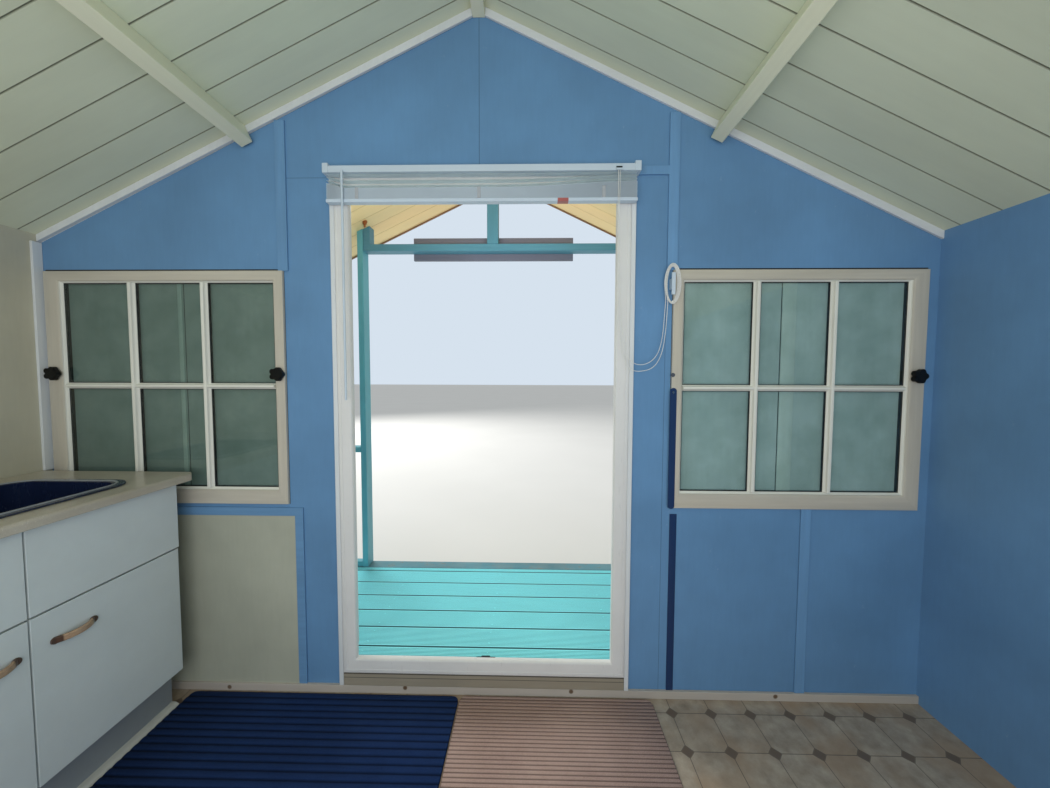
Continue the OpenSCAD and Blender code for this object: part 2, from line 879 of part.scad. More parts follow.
function smooth(a, b, c, d, t) = 0.5 * ((2 * b) + (c - a) * t
    + (2 * a - 5 * b + 4 * c - d) * t * t + (3 * b - a - 3 * c + d) * t * t * t);
function at(p, i) = p[max(0, min(len(p) - 1, i))];
function route(p) = [for (i = [0 : len(p) - 2]) for (k = [0 : cord_sub - 1])
    smooth(at(p, i - 1), at(p, i), at(p, i + 1), at(p, i + 2), k / cord_sub), p[len(p) - 1]];
function unit(v) = v / norm(v);
function ring(c, t, r) = let (u = unit(cross(t, [0, 1, 0])), v = cross(u, t))
    [for (k = [0 : cord_sides - 1])
        c + r * (u * cos(k * 360 / cord_sides) + v * sin(k * 360 / cord_sides))];

module tube(points, r) {
    p = route(points);
    n = len(p);
    rings = [for (i = [0 : n - 1]) each ring(p[i], unit(at(p, i + 1) - at(p, i - 1)), r)];
    sides = [for (i = [0 : n - 2]) for (k = [0 : cord_sides - 1])
        [i * cord_sides + k, i * cord_sides + (k + 1) % cord_sides,
            (i + 1) * cord_sides + (k + 1) % cord_sides, (i + 1) * cord_sides + k]];
    first = [[for (k = [cord_sides - 1 : -1 : 0]) k]];
    last = [[for (k = [0 : cord_sides - 1]) (n - 1) * cord_sides + k]];
    polyhedron(rings, concat(sides, first, last));
}

module lift_cord(points) {
    across = (lock_x - wind_x) / cord_span[0];
    down = (lock_z - wind_z) / cord_span[1];
    placed = [for (p = points) [p[0] * across, p[1], p[2] * down]];
    color("white") translate([lock_x, in_y, lock_z]) tube(placed, cord_dia / 2);
}

module lift_cord_a() {
    lift_cord(cord_a);
}

module lift_cord_b() {
    lift_cord(cord_b);
}

wind_x = cleat_w / 2 - (win_left_x - win_w / 2);
wind_z = floor_z + win_z + win_h - 57;
wind_y = frame_proud + 0.5;

module cord_winding() {
    color("white")
        translate([0, in_y, 0])
            along_y(wind_y, wind_y + wind_d)
                difference() {
                    translate([wind_x - wind_w / 2, wind_z - wind_h / 2])
                        round_rect(0, wind_w, 0, wind_h, wind_w / 2 - 1);
                    translate([wind_x - cleat_w / 2 - seat, wind_z - cleat_h / 4])
                        square([cleat_w + 2 * seat, cleat_h / 2]);
                }
}

module cord_cleat() {
    color("white")
        translate([wind_x, in_y, wind_z]) {
            box(-cleat_w / 2, cleat_w / 2, 0, cleat_d, -cleat_h / 4 + seat, cleat_h / 4 - seat);
            box(-cleat_w / 2, cleat_w / 2, cleat_d - horn_t, cleat_d, -cleat_h / 2, cleat_h / 2);
        }
}

// Veranda
rip_y = deck_y + edge_w + deck_gap;
row_y = rip_y + rip_w + deck_gap;
board_n = floor((out_y - row_y) / (deck_w + deck_gap));
last_y = row_y + board_n * (deck_w + deck_gap);

module deck_board(y0, y1) {
    box(-half_out, half_out, y0, y1, joist_z + joist_h, deck_z);
}

module veranda_deck() {
    color("mediumturquoise") {
        deck_board(rip_y, rip_y + rip_w);
        for (i = [0 : board_n - 1])
            deck_board(row_y + i * (deck_w + deck_gap), row_y + i * (deck_w + deck_gap) + deck_w);
        if (out_y - last_y > 2 * deck_gap)
            deck_board(last_y, out_y - seat);
    }
}

module deck_edge_board() {
    color("cadetblue") {
        deck_board(deck_y, deck_y + edge_w);
        box(-half_out, half_out, deck_y, deck_y + face_t, joist_z, joist_z + joist_h);
    }
}

post_y = deck_y + edge_w - post_d;
post_xs = [post_x, half_out - post_w / 2];

module veranda_posts() {
    color("mediumturquoise")
        for (side = [-1, 1])
            for (x = post_xs)
                along_y(post_y, post_y + post_d)
                    polygon([[side * (x - post_w / 2), deck_z], [side * (x + post_w / 2), deck_z],
                        [side * (x + post_w / 2), soffit(x + post_w / 2)],
                        [side * (x - post_w / 2), soffit(x - post_w / 2)]]);
}

tie_y = post_y + (post_d - tie_d) / 2;

module tie_beam() {
    end = post_x - post_w / 2;
    low = floor_z + tie_z;
    color("mediumturquoise") {
        box(-end, end, tie_y, tie_y + tie_d, low, low + tie_h);
        for (side = [-1, 1])
            along_y(tie_y, tie_y + tie_d)
                polygon([[side * end, low + tie_h], [side * end, soffit(end)],
                    [side * (end - block_w), soffit(end - block_w)],
                    [side * (end - block_w), low + tie_h]]);
    }
}

module king_post() {
    x0 = king_x - king_w / 2;
    x1 = king_x + king_w / 2;
    low = floor_z + tie_z + tie_h;
    color("mediumturquoise")
        along_y(tie_y, tie_y + tie_d)
            polygon([[x0, low], [x1, low], [x1, soffit(x1)], [max(0, x0), soffit(max(0, x0))],
                [x0, soffit(x0)]]);
}

module rail_bar(x0, x1, y0, y1) {
    box(x0, x1, y0, y1, deck_z + rail_top - rail_sec, deck_z + rail_top);
}

module railings() {
    inner = post_x + post_w / 2;
    outer = half_out - post_w;
    hand_y = post_y + post_d - rail_d;
    low_y = post_y + post_d - low_d;
    color("mediumturquoise")
        for (side = [-1, 1])
            mirror([side < 0 ? 1 : 0, 0, 0]) {
                rail_bar(inner, outer, hand_y, hand_y + rail_d);
                box(inner, outer, low_y, low_y + low_d, deck_z, deck_z + low_h);
                rail_bar(half_out - low_d, half_out, post_y + post_d, out_y);
                box(half_out - low_d, half_out, post_y + post_d, out_y, deck_z, deck_z + low_h);
            }
}

module name_board() {
    color("rosybrown")
        box(board_x - board_w / 2, board_x + board_w / 2, tie_y - board_t, tie_y,
            floor_z + board_z, floor_z + board_z + board_h);
}

// Base unit along the right-hand wall
unit_y0 = in_y + unit_gap;
unit_len = 2 * cup_w + cup_gap;
unit_y1 = unit_y0 + unit_len;
face_x = half_in - unit_d;
door_back = face_x + cup_t;
front_x = door_back + cup_off;
plinth_x = front_x + plinth_in;
top_low = floor_z + top_z - top_t;
cup_low = floor_z + cup_z;
cup_top = cup_low + cup_h;
false_z = cup_top + cup_over;

module unit_carcass() {
    base = floor_z + plinth_h;
    color("whitesmoke") {
        difference() {
            box(front_x, half_in, unit_y0, unit_y1, base, top_low);
            box(front_x - cut, half_in - panel_board, unit_y0 + panel_board,
                unit_y1 - panel_board, base + panel_board, top_low + cut);
        }
        box(front_x, front_x + panel_board, unit_y0, unit_y1, false_z, top_low);
        difference() {
            box(plinth_x, half_in, unit_y0, unit_y1, floor_z, base);
            box(plinth_x + panel_board, half_in - panel_board, unit_y0 + panel_board,
                unit_y1 - panel_board, floor_z - cut, base + cut);
        }
    }
}

module false_fronts() {
    color("white")
        for (y = [unit_y0, unit_y0 + cup_w + cup_gap])
            box(face_x, front_x, y, y + cup_w, false_z, top_low - 2);
}

module sink_plan(grow) {
    x0 = half_in - sink_x - sink_w + sink_rim - grow;
    x1 = half_in - sink_x - sink_rim + grow;
    y0 = in_y + sink_y + sink_rim - grow;
    y1 = in_y + sink_y + sink_l - sink_rim + grow;
    round_rect(x0, x1, y0, y1, bowl_r + grow);
}

module worktop() {
    x0 = face_x - top_over;
    y1 = unit_y1 + top_gap;
    z1 = floor_z + top_z;
    color("tan")
        difference() {
            along_y(in_y + top_gap, y1) {
                translate([x0 + top_r, top_low]) square([half_in - x0 - top_r, top_t]);
                translate([x0, top_low]) square([top_r, top_t - top_r]);
                translate([x0 + top_r, z1 - top_r]) circle(top_r);
            }
            translate([0, 0, top_low - cut]) linear_extrude(top_t + 2 * cut)
                sink_plan(bowl_t + 2);
            for (y = [in_y + top_gap, y1])
                translate([x0, y, top_low - cut]) rotate(45)
                    translate([-corner_cut, -corner_cut, 0])
                        cube([2 * corner_cut, 2 * corner_cut, top_t + 2 * cut]);
        }
}

module sink_bowl() {
    z1 = floor_z + top_z;
    color("midnightblue")
        difference() {
            union() {
                translate([0, 0, z1]) linear_extrude(rim_h) sink_plan(sink_rim);
                translate([0, 0, z1 - bowl_h]) linear_extrude(bowl_h + cut) sink_plan(bowl_t);
            }
            translate([0, 0, z1 - bowl_h + bowl_t]) linear_extrude(bowl_h + rim_h) sink_plan(0);
        }
}

pivot_x = face_x + cup_t / 2;
far_y = unit_y0 + pivot_in;
near_y = unit_y1 - pivot_in;

plate_r = 8;

module pivot_plate(y, z, up) {
    color("silver") {
        translate([pivot_x, y - plate_r, z]) cube([front_x - pivot_x, 2 * plate_r, plate_t]);
        translate([pivot_x, y, z]) cylinder(r = plate_r, h = plate_t);
        translate([pivot_x, y, up ? z : z - pin_l]) cylinder(r = pin_r, h = pin_l + plate_t);
    }
}

module pivot_hinges() {
    for (y = [far_y, near_y]) {
        pivot_plate(y, cup_low - seat - plate_t, true);
        pivot_plate(y, cup_top + (cup_over - plate_t) / 2, false);
    }
}

// A cupboard door: the hinge end has rounded edges and two blind bores for the pins
module cupboard_door(y0, hinge_y, far) {
    r = cup_t * 0.39;
    color("white")
        difference() {
            translate([0, 0, cup_low]) linear_extrude(cup_h)
                translate([face_x, y0])
                    mirror([0, far ? 0 : 1])
                        translate([0, far ? 0 : -cup_w]) {
                            translate([0, r]) square([cup_t, cup_w - r]);
                            translate([r, 0]) square([cup_t - 2 * r, cup_w]);
                            for (x = [r, cup_t - r])
                                translate([x, r]) circle(r);
                        }
            translate([pivot_x, hinge_y, cup_low - cut])
                cylinder(r = pin_r + pin_c, h = pin_l + cut + 1);
            translate([pivot_x, hinge_y, cup_top - pin_l - 1])
                cylinder(r = pin_r + pin_c, h = pin_l + cut + 1);
        }
}

module cupboard_door_far() {
    cupboard_door(unit_y0, far_y, true);
}

module cupboard_door_near() {
    cupboard_door(unit_y1 - cup_w, near_y, false);
}

// A bow handle: part of a ring between two feet
module bow_handle(y) {
    half = grip_l / 2;
    rise = grip_d - grip_t / 2;
    straight = grip_h - grip_t;
    bow_r = (half * half + rise * rise) / (2 * rise);
    swing = 2 * asin(half / bow_r);
    color("rosybrown")
        translate([face_x, y, floor_z + grip_z]) {
            intersection() {
                translate([bow_r - rise, 0, 0])
                    rotate(180 - swing / 2 - 3)
                        rotate_extrude(angle = swing + 6) translate([bow_r, 0]) {
                            translate([-grip_t / 2, -straight / 2]) square([grip_t, straight]);
                            for (side = [-1, 1])
                                translate([0, side * straight / 2]) circle(grip_t / 2);
                        }
                box(-2 * grip_d, 0, -grip_l, grip_l, -grip_h, grip_h);
            }
            for (side = [-1, 1])
                translate([0, side * half, 0]) rotate([0, -90, 0])
                    cylinder(r = grip_h / 2, h = 5);
        }
}

module far_door_handle() {
    bow_handle(unit_y0 + cup_w - grip_far);
}

module near_door_handle() {
    bow_handle(unit_y1 - cup_w + grip_near);
}

bearers();
floor_joists();
floor_boards();
floor_covering();
floor_mats();
front_wall_left();
front_wall_right();
front_gable();
side_wall_left();
side_wall_right();
rear_wall();
wall_battens();
lower_panel();
inside_trims();
wall_foot_strips();
roof_boards_left();
roof_boards_right();
roof_felt();
eaves_fascias();
verge_trims();
ridge_board();
purlins();
door_sill();
door_frame();
door_leaf_left();
door_leaf_right();
window_frame_left();
window_frame_right();
glass_panes();
window_shutters();
window_knobs();
blind_headrail();
blind_slats();
blind_bottom_rail();
tilt_wand();
lift_cord_a();
lift_cord_b();
cord_winding();
cord_cleat();
veranda_deck();
deck_edge_board();
veranda_posts();
tie_beam();
king_post();
railings();
name_board();
unit_carcass();
false_fronts();
worktop();
sink_bowl();
pivot_hinges();
cupboard_door_far();
cupboard_door_near();
far_door_handle();
near_door_handle();
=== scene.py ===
import json
import math
import bmesh
import bpy
import numpy as np
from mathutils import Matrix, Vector

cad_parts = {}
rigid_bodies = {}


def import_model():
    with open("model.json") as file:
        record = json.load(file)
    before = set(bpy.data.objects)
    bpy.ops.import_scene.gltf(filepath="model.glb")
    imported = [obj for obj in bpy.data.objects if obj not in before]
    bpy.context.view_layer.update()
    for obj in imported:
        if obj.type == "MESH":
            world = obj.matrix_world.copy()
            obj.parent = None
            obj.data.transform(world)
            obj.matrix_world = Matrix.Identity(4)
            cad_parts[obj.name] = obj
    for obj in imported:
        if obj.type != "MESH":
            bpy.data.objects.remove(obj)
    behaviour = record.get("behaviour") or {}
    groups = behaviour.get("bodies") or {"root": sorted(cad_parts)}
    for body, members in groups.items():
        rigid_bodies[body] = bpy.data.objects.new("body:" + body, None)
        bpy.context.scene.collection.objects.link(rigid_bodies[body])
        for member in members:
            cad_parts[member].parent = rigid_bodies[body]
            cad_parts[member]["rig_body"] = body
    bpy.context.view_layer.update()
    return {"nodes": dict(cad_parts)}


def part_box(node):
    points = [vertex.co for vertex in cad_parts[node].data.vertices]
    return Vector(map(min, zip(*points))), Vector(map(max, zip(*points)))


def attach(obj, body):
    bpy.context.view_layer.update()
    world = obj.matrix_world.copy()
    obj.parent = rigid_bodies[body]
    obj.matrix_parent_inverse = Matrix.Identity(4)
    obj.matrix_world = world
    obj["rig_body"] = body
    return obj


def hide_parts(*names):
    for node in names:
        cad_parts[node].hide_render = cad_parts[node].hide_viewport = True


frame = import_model()
print("frame loaded:", len(frame["nodes"]), "nodes")


def box(node):
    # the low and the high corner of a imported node
    return np.array(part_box(node))


def places(node, axis):
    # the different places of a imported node's corners along one axis
    return np.unique(np.round([v.co[axis] for v in frame["nodes"][node].data.vertices], 4))


# Places that many pieces share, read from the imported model
(door0, outY, doorHead), (door1, inY, ridgeZ) = box("front_gable")
backY, rearY = box("rear_wall")[:, 1]
floorZ = box("floor_covering")[1, 2]
deckLow, deckZ = box("veranda_deck")[:, 2]
halfOut = box("floor_boards")[1, 0]
(_, _, eaveZ), (eaveX, _, boardTop) = box("roof_boards_right")
slope = (ridgeZ - eaveZ) / eaveX
slopeCos = 1 / math.sqrt(1 + slope * slope)
frameNodes = ("window_frame_left", "window_frame_right")
leafNodes = ("door_leaf_left", "door_leaf_right")
deckEdges = places("veranda_deck", 1).tolist()
deckSpans = list(zip(deckEdges[::2], deckEdges[1::2]))


def soffit(x):
    # height of the roof's underside at a distance from the ridge
    return ridgeZ - slope * np.abs(x)


def addObject(name, data):
    made = bpy.data.objects.new(name, data)
    bpy.context.scene.collection.objects.link(made)
    return made


# The photograph's camera stands inside the hut and looks out of the door
shot = {"focal": 377, "width": 1050, "fromWall": 1.5, "eyeHeight": 1.3176, "aside": -0.21,
        "yaw": -1.15, "pitch": -2.79, "roll": 0.185}


def makeCamera():
    yaw, pitch, roll = (math.radians(shot[key]) for key in ("yaw", "pitch", "roll"))
    ahead = np.array([math.sin(yaw) * math.cos(pitch), math.cos(yaw) * math.cos(pitch),
                      math.sin(pitch)])
    right = np.array([math.cos(yaw), -math.sin(yaw), 0])
    up = np.cross(right, ahead)
    turn = np.array([-1, -1, 1])  # the photograph looks towards -Y
    data = bpy.data.cameras.new("photoCamera")
    data.sensor_width = 36
    data.lens = 36 * shot["focal"] / shot["width"]
    data.clip_start = 0.02
    data.clip_end = 200
    camera = addObject("photoCamera", data)
    matrix = np.eye(4)
    matrix[:3, 0] = (right * math.cos(roll) + up * math.sin(roll)) * turn
    matrix[:3, 1] = (up * math.cos(roll) - right * math.sin(roll)) * turn
    matrix[:3, 2] = -ahead * turn
    matrix[:3, 3] = [shot["aside"], inY + shot["fromWall"], floorZ + shot["eyeHeight"]]
    camera.matrix_world = matrix.T.tolist()
    bpy.context.scene.camera = camera


makeCamera()
bpy.context.scene.view_settings.view_transform = "Standard"
print("camera placed")


# Surfaces: every piece is a set of rings of points, joined by quads
def points(*parts):
    # places from x, y and z, each a number or an array, spread to one shape
    return np.stack(np.broadcast_arrays(*parts), -1)


def carry(rings, along, across, closed=False):
    # quad (i, j) joins ring i to ring i + 1 between columns j and j + 1; each ring is closed
    rows, columns = rings.shape[:2]
    i, j = np.meshgrid(np.arange(rows if closed else rows - 1), np.arange(columns), indexing="ij")
    nextI, nextJ = (i + 1) % rows, (j + 1) % columns
    corners = [(i, j, 0, 0), (nextI, j, 1, 0), (nextI, nextJ, 1, 1), (i, nextJ, 0, 1)]
    quads = np.stack([a * columns + b for a, b, _, _ in corners], -1).reshape(-1, 4)
    uv = np.stack([np.stack([along[i + p], across[j + q]], -1) for _, _, p, q in corners], 2)
    faces = quads.tolist()
    loops = uv.reshape(-1, 2)
    if not closed:
        ends = [np.arange(columns), (rows - 1) * columns + np.arange(columns)[::-1]]
        faces += [end.tolist() for end in ends]
        flat = np.ptp(rings[0], axis=0).argsort()[1:]
        loops = np.concatenate([loops] + [rings.reshape(-1, 3)[end][:, flat] for end in ends])
    return {"points": rings.reshape(-1, 3), "faces": faces, "uv": loops}


def finishPiece(piece, finish, body, replaced):
    piece.data.materials.clear()
    piece.data.materials.append(finishes[finish])
    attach(piece, body)
    if replaced:
        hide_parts(*replaced)
    return piece


def makePiece(name, parts, finish, smooth=40, replaced=()):
    # one mesh from several sets of points and faces
    starts = np.cumsum([0] + [len(part["points"]) for part in parts])
    faces = [[v + start for v in face] for part, start in zip(parts, starts)
             for face in part["faces"]]
    mesh = bpy.data.meshes.new(name)
    mesh.from_pydata(np.concatenate([part["points"] for part in parts]).tolist(), [], faces)
    uv = np.concatenate([part["uv"] for part in parts])
    mesh.uv_layers.new(name="grain").uv.foreach_set("vector", uv.astype(np.float32).ravel())
    shell = bmesh.new()
    shell.from_mesh(mesh)
    bmesh.ops.recalc_face_normals(shell, faces=shell.faces)
    shell.to_mesh(mesh)
    shell.free()
    piece = addObject(name, mesh)
    if smooth:
        mesh.shade_smooth()
        mesh.set_sharp_from_angle(angle=math.radians(smooth))
    return finishPiece(piece, finish, "hut", replaced)


def around(profile):
    # distance round a closed profile, one entry more than it has points
    steps = np.linalg.norm(np.roll(profile, -1, axis=0) - profile, axis=1)
    return np.concatenate([[0], np.cumsum(steps)])


def bar(start, end, profile, across, outward, shift=0.0):
    # point = place along the bar + across * a + outward * b for each profile point (a, b)
    start, end, across, outward = (np.array(v, float) for v in (start, end, across, outward))
    section = profile[:, :1] * across + profile[:, 1:] * outward
    rings = np.stack([start + section, end + section])
    return carry(rings, np.array([0, np.linalg.norm(end - start)]) + shift, around(profile) + shift)


def roundedRect(a0, a1, b0, b1, radius, steps=3):
    # quarter arcs round four corner centres: centre + radius * (cos t, sin t)
    t = np.linspace(0, np.pi / 2, steps + 1)
    centres = [(a1 - radius, b1 - radius), (a0 + radius, b1 - radius),
               (a0 + radius, b0 + radius), (a1 - radius, b0 + radius)]
    arcs = [np.stack([c[0] + radius * np.cos(t + k * np.pi / 2),
                      c[1] + radius * np.sin(t + k * np.pi / 2)], -1)
            for k, c in enumerate(centres)]
    return np.concatenate(arcs)


def post(x, y, z, radius, steps=2, shift=0.0):
    # a block between two places on each axis, with rounded edges up Z
    return bar((0, 0, z[0]), (0, 0, z[1]), roundedRect(*x, *y, radius, steps), (1, 0, 0),
               (0, 1, 0), shift)


def beam(x, y, z, radius, steps=2, shift=0.0):
    # the same with rounded edges along X
    return bar((x[0], 0, 0), (x[1], 0, 0), roundedRect(*z, *y, radius, steps), (0, 0, 1),
               (0, 1, 0), shift)


def mitred(x0, x1, z0, z1, profile, widths, shift=0.0):
    # a profile (share of the member's width, y) carried round a rectangle, mitred at the corners
    left, right, bottom, top = widths
    corners = np.array([[x0, z0], [x1, z0], [x1, z1], [x0, z1]])
    inward = np.array([[left, bottom], [-right, bottom], [-right, -top], [left, -top]])
    rings = points(corners[:, :1] + inward[:, :1] * profile[:, 0], profile[:, 1],
                   corners[:, 1:] + inward[:, 1:] * profile[:, 0])
    return carry(rings, around(corners) + shift, around(profile * [max(widths), 1]) + shift,
                 closed=True)


def fromFace(y, line):
    # profile points (share, y - depth) from (share, depth)
    return [(share, y - deep) for share, deep in line]


def tube(path, radius, sides=10):
    # ring point = path point + radius * (side * cos t + rise * sin t)
    ahead = np.gradient(path, axis=0)
    ahead /= np.linalg.norm(ahead, axis=1)[:, None]
    side = np.cross(ahead, [0, 1, 0])
    side /= np.linalg.norm(side, axis=1)[:, None]
    rise = np.cross(side, ahead)
    t = np.arange(sides) * 2 * np.pi / sides
    rings = path[:, None] + radius * (side[:, None] * np.cos(t)[:, None]
                                      + rise[:, None] * np.sin(t)[:, None])
    return carry(rings, around(path)[:-1], np.arange(sides + 1) / sides)


def turned(line, centre, axis, sides=32):
    # a line of (distance along the axis, radius) turned about the axis
    profile, axis = np.array(line), np.array(axis, float)
    side = np.cross(axis, [0.3, 0.5, 0.8])
    side /= np.linalg.norm(side)
    rise = np.cross(axis, side)
    t = np.arange(sides) * 2 * np.pi / sides
    circle = side * np.cos(t)[:, None] + rise * np.sin(t)[:, None]
    rings = np.array(centre) + profile[:, :1, None] * axis + profile[:, 1:, None] * circle
    return carry(rings, around(profile)[:-1],
                 np.arange(sides + 1) * profile[:, 1].max() * 6 / sides)


def softened(node, finish, width, segments=2):
    # a copy of a CAD node with its doubles merged, flat faces joined and edges rounded
    piece = addObject(node + ".soft", frame["nodes"][node].data.copy())
    mesh = piece.data
    shell = bmesh.new()
    shell.from_mesh(mesh)
    bmesh.ops.remove_doubles(shell, verts=shell.verts, dist=1e-5)
    bmesh.ops.dissolve_limit(shell, angle_limit=math.radians(0.5), verts=shell.verts,
                             edges=shell.edges)
    grainLayer = shell.loops.layers.uv.new("grain")
    for number, island in enumerate(islands(shell)):
        long = int(np.argmax(np.ptp([v.co for face in island for v in face.verts], axis=0)))
        for face in island:
            normal = int(np.argmax(np.abs(face.normal)))
            rest = [axis for axis in range(3) if axis != normal]
            first = long if long in rest else rest[0]
            second = [axis for axis in rest if axis != first][0]
            for loop in face.loops:
                co = loop.vert.co
                loop[grainLayer].uv = (co[first] + 1.37 * number, co[second] + 0.61 * normal)
    shell.to_mesh(mesh)
    shell.free()
    bevel = piece.modifiers.new("edges", "BEVEL")
    bevel.width = width
    bevel.segments = segments
    bevel.limit_method = "ANGLE"
    bevel.angle_limit = math.radians(35)
    bevel.harden_normals = True
    mesh.shade_smooth()
    mesh.set_sharp_from_angle(angle=math.radians(35))
    finishPiece(piece, finish, frame["nodes"][node]["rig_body"], [node])


def islands(shell):
    # groups of faces that share edges, in the order of the faces so that every run is alike
    waiting = set(shell.faces)
    for first in shell.faces:
        group = [first] if first in waiting else []
        waiting.discard(first)
        for face in group:
            for edge in face.edges:
                for other in edge.link_faces:
                    if other in waiting:
                        waiting.remove(other)
                        group.append(other)
        if group:
            yield group


# Materials
def colour(red, green, blue, gain=1.0):
    # a screen colour from 0 to 255 as the scene's own linear colour, made lighter by a gain
    share = np.array([red, green, blue]) / 255
    linear = np.where(share <= 0.04045, share / 12.92, ((share + 0.055) / 1.055) ** 2.4)
    return (*np.minimum(linear * gain, 1).tolist(), 1.0)


class Nodes:
    # places shader nodes in a tree and joins them
    def __init__(self, tree):
        self.tree = tree

    def add(self, kind, links=None, **values):
        node = self.tree.nodes.new(kind)
        for key, value in values.items():
            setattr(node, key, value)
        for key, value in (links or {}).items():
            if isinstance(value, bpy.types.NodeSocket):
                self.link(value, node.inputs[key])
            else:
                node.inputs[key].default_value = value
        return node

    def link(self, output, socket):
        self.tree.links.new(output, socket)

    def math(self, operation, first, second=0.0):
        return self.add("ShaderNodeMath", {0: first, 1: second}, operation=operation).outputs[0]

    def times(self, first, second):
        return self.math("MULTIPLY", first, second)

    def away(self, value, place):
        return self.math("ABSOLUTE", self.math("SUBTRACT", value, place))

    def coords(self, source="Object"):
        return self.add("ShaderNodeTexCoord").outputs[source]

    def split(self, vector):
        return self.add("ShaderNodeSeparateXYZ", {0: vector}).outputs

    def mix(self, share, first, second, blend="MIX"):
        # three numbers are a screen colour
        first, second = (colour(*value) if isinstance(value, tuple) and len(value) == 3 else value
                         for value in (first, second))
        return self.add("ShaderNodeMix", {"Factor": share, 6: first, 7: second},
                        data_type="RGBA", blend_type=blend).outputs[2]

    def shade(self, tone, share):
        return self.mix(1.0, tone, share, "MULTIPLY")

    def ramp(self, value, start, end, low=0.0, high=1.0):
        links = {"Value": value, "From Min": start, "From Max": end, "To Min": low, "To Max": high}
        return self.add("ShaderNodeMapRange", links, clamp=True).outputs[0]

    def noise(self, vector, scale, detail=3.0, roughness=0.5, stretch=None):
        if stretch:
            vector = self.add("ShaderNodeMapping", {"Vector": vector, "Scale": stretch}).outputs[0]
        links = {"Vector": vector, "Scale": scale, "Detail": detail, "Roughness": roughness}
        return self.add("ShaderNodeTexNoise", links).outputs["Fac"]


class Surface(Nodes):
    # a new material with its Principled shader
    def __init__(self, name, roughness=0.5, metallic=0.0, specular=0.5, coat=0.0):
        self.material = bpy.data.materials.new(name)
        self.material.use_nodes = True
        super().__init__(self.material.node_tree)
        self.shader = self.tree.nodes["Principled BSDF"]
        self.set(("Roughness", roughness), ("Metallic", metallic),
                 ("Specular IOR Level", specular), ("Coat Weight", coat))

    def set(self, *values):
        for key, value in values:
            self.shader.inputs[key].default_value = value

    def grain(self, source, fine):
        # from the piece's own UV map, laid along its grain, or from its Object place
        links = {"Vector": self.coords(source), "Fine": fine}
        return self.add("ShaderNodeGroup", links, node_tree=grainGroup).outputs

    def blend(self, share, other):
        # the Principled shader mixed with another one
        mixed = self.add("ShaderNodeMixShader", {0: share, 1: self.shader.outputs[0],
                                                 2: other.outputs[0]})
        self.link(mixed.outputs[0], self.tree.nodes["Material Output"].inputs[0])

    def finish(self, tone, height=None, strength=0.0, distance=0.0, gloss=None):
        self.link(tone, self.shader.inputs["Base Color"])
        if gloss is not None:
            self.link(gloss, self.shader.inputs["Roughness"])
        if height is not None:
            links = {"Height": height, "Strength": strength, "Distance": distance}
            self.link(self.add("ShaderNodeBump", links).outputs[0], self.shader.inputs["Normal"])
        return self.material


def newGroup(name, numbers, outputs):
    # a node group with a vector and some numbers as its inputs
    group = bpy.data.node_groups.new(name, "ShaderNodeTree")
    group.interface.new_socket("Vector", in_out="INPUT", socket_type="NodeSocketVector")
    for label, value in numbers.items():
        socket = group.interface.new_socket(label, in_out="INPUT", socket_type="NodeSocketFloat")
        socket.default_value = value
    for label in outputs:
        group.interface.new_socket(label, in_out="OUTPUT", socket_type="NodeSocketFloat")
    nodes = Nodes(group)
    return nodes, nodes.add("NodeGroupInput").outputs, nodes.add("NodeGroupOutput").inputs


def makeGrainGroup():
    # streaks stretched along the first axis, broad cloudy patches, and chips
    nodes, given, out = newGroup("timberGrain", {"Fine": 60.0}, ("Streaks", "Patches", "Chips"))
    for label, scale, detail, roughness, long in (("Streaks", given["Fine"], 5, 0.6, 0.05),
                                                  ("Patches", 5, 3, 0.55, 0.35),
                                                  ("Chips", 42, 6, 0.7, 0.3)):
        nodes.link(nodes.noise(given["Vector"], scale, detail, roughness, (long, 1, 1)),
                   out[label])
    return nodes.tree


def makeDustGroup():
    # dust gathers low down, in clouds
    nodes, given, out = newGroup("settledDust", {"Level": 0.2, "Reach": 0.5}, ("Dust",))
    top = nodes.math("ADD", given["Level"], given["Reach"])
    near = nodes.ramp(nodes.split(given["Vector"])["Z"], given["Level"], top, 1.0, 0.0)
    cloud = nodes.ramp(nodes.noise(given["Vector"], 9, 5, 0.65), 0.35, 0.75)
    nodes.link(nodes.times(near, cloud), out["Dust"])
    return nodes.tree


grainGroup = makeGrainGroup()
dustGroup = makeDustGroup()


def coats(nodes, share, tint, depth):
    # two shades of one paint, mixed by a cloudy share
    return nodes.mix(share, colour(*tint, 1 - depth), colour(*tint, 1 + depth))


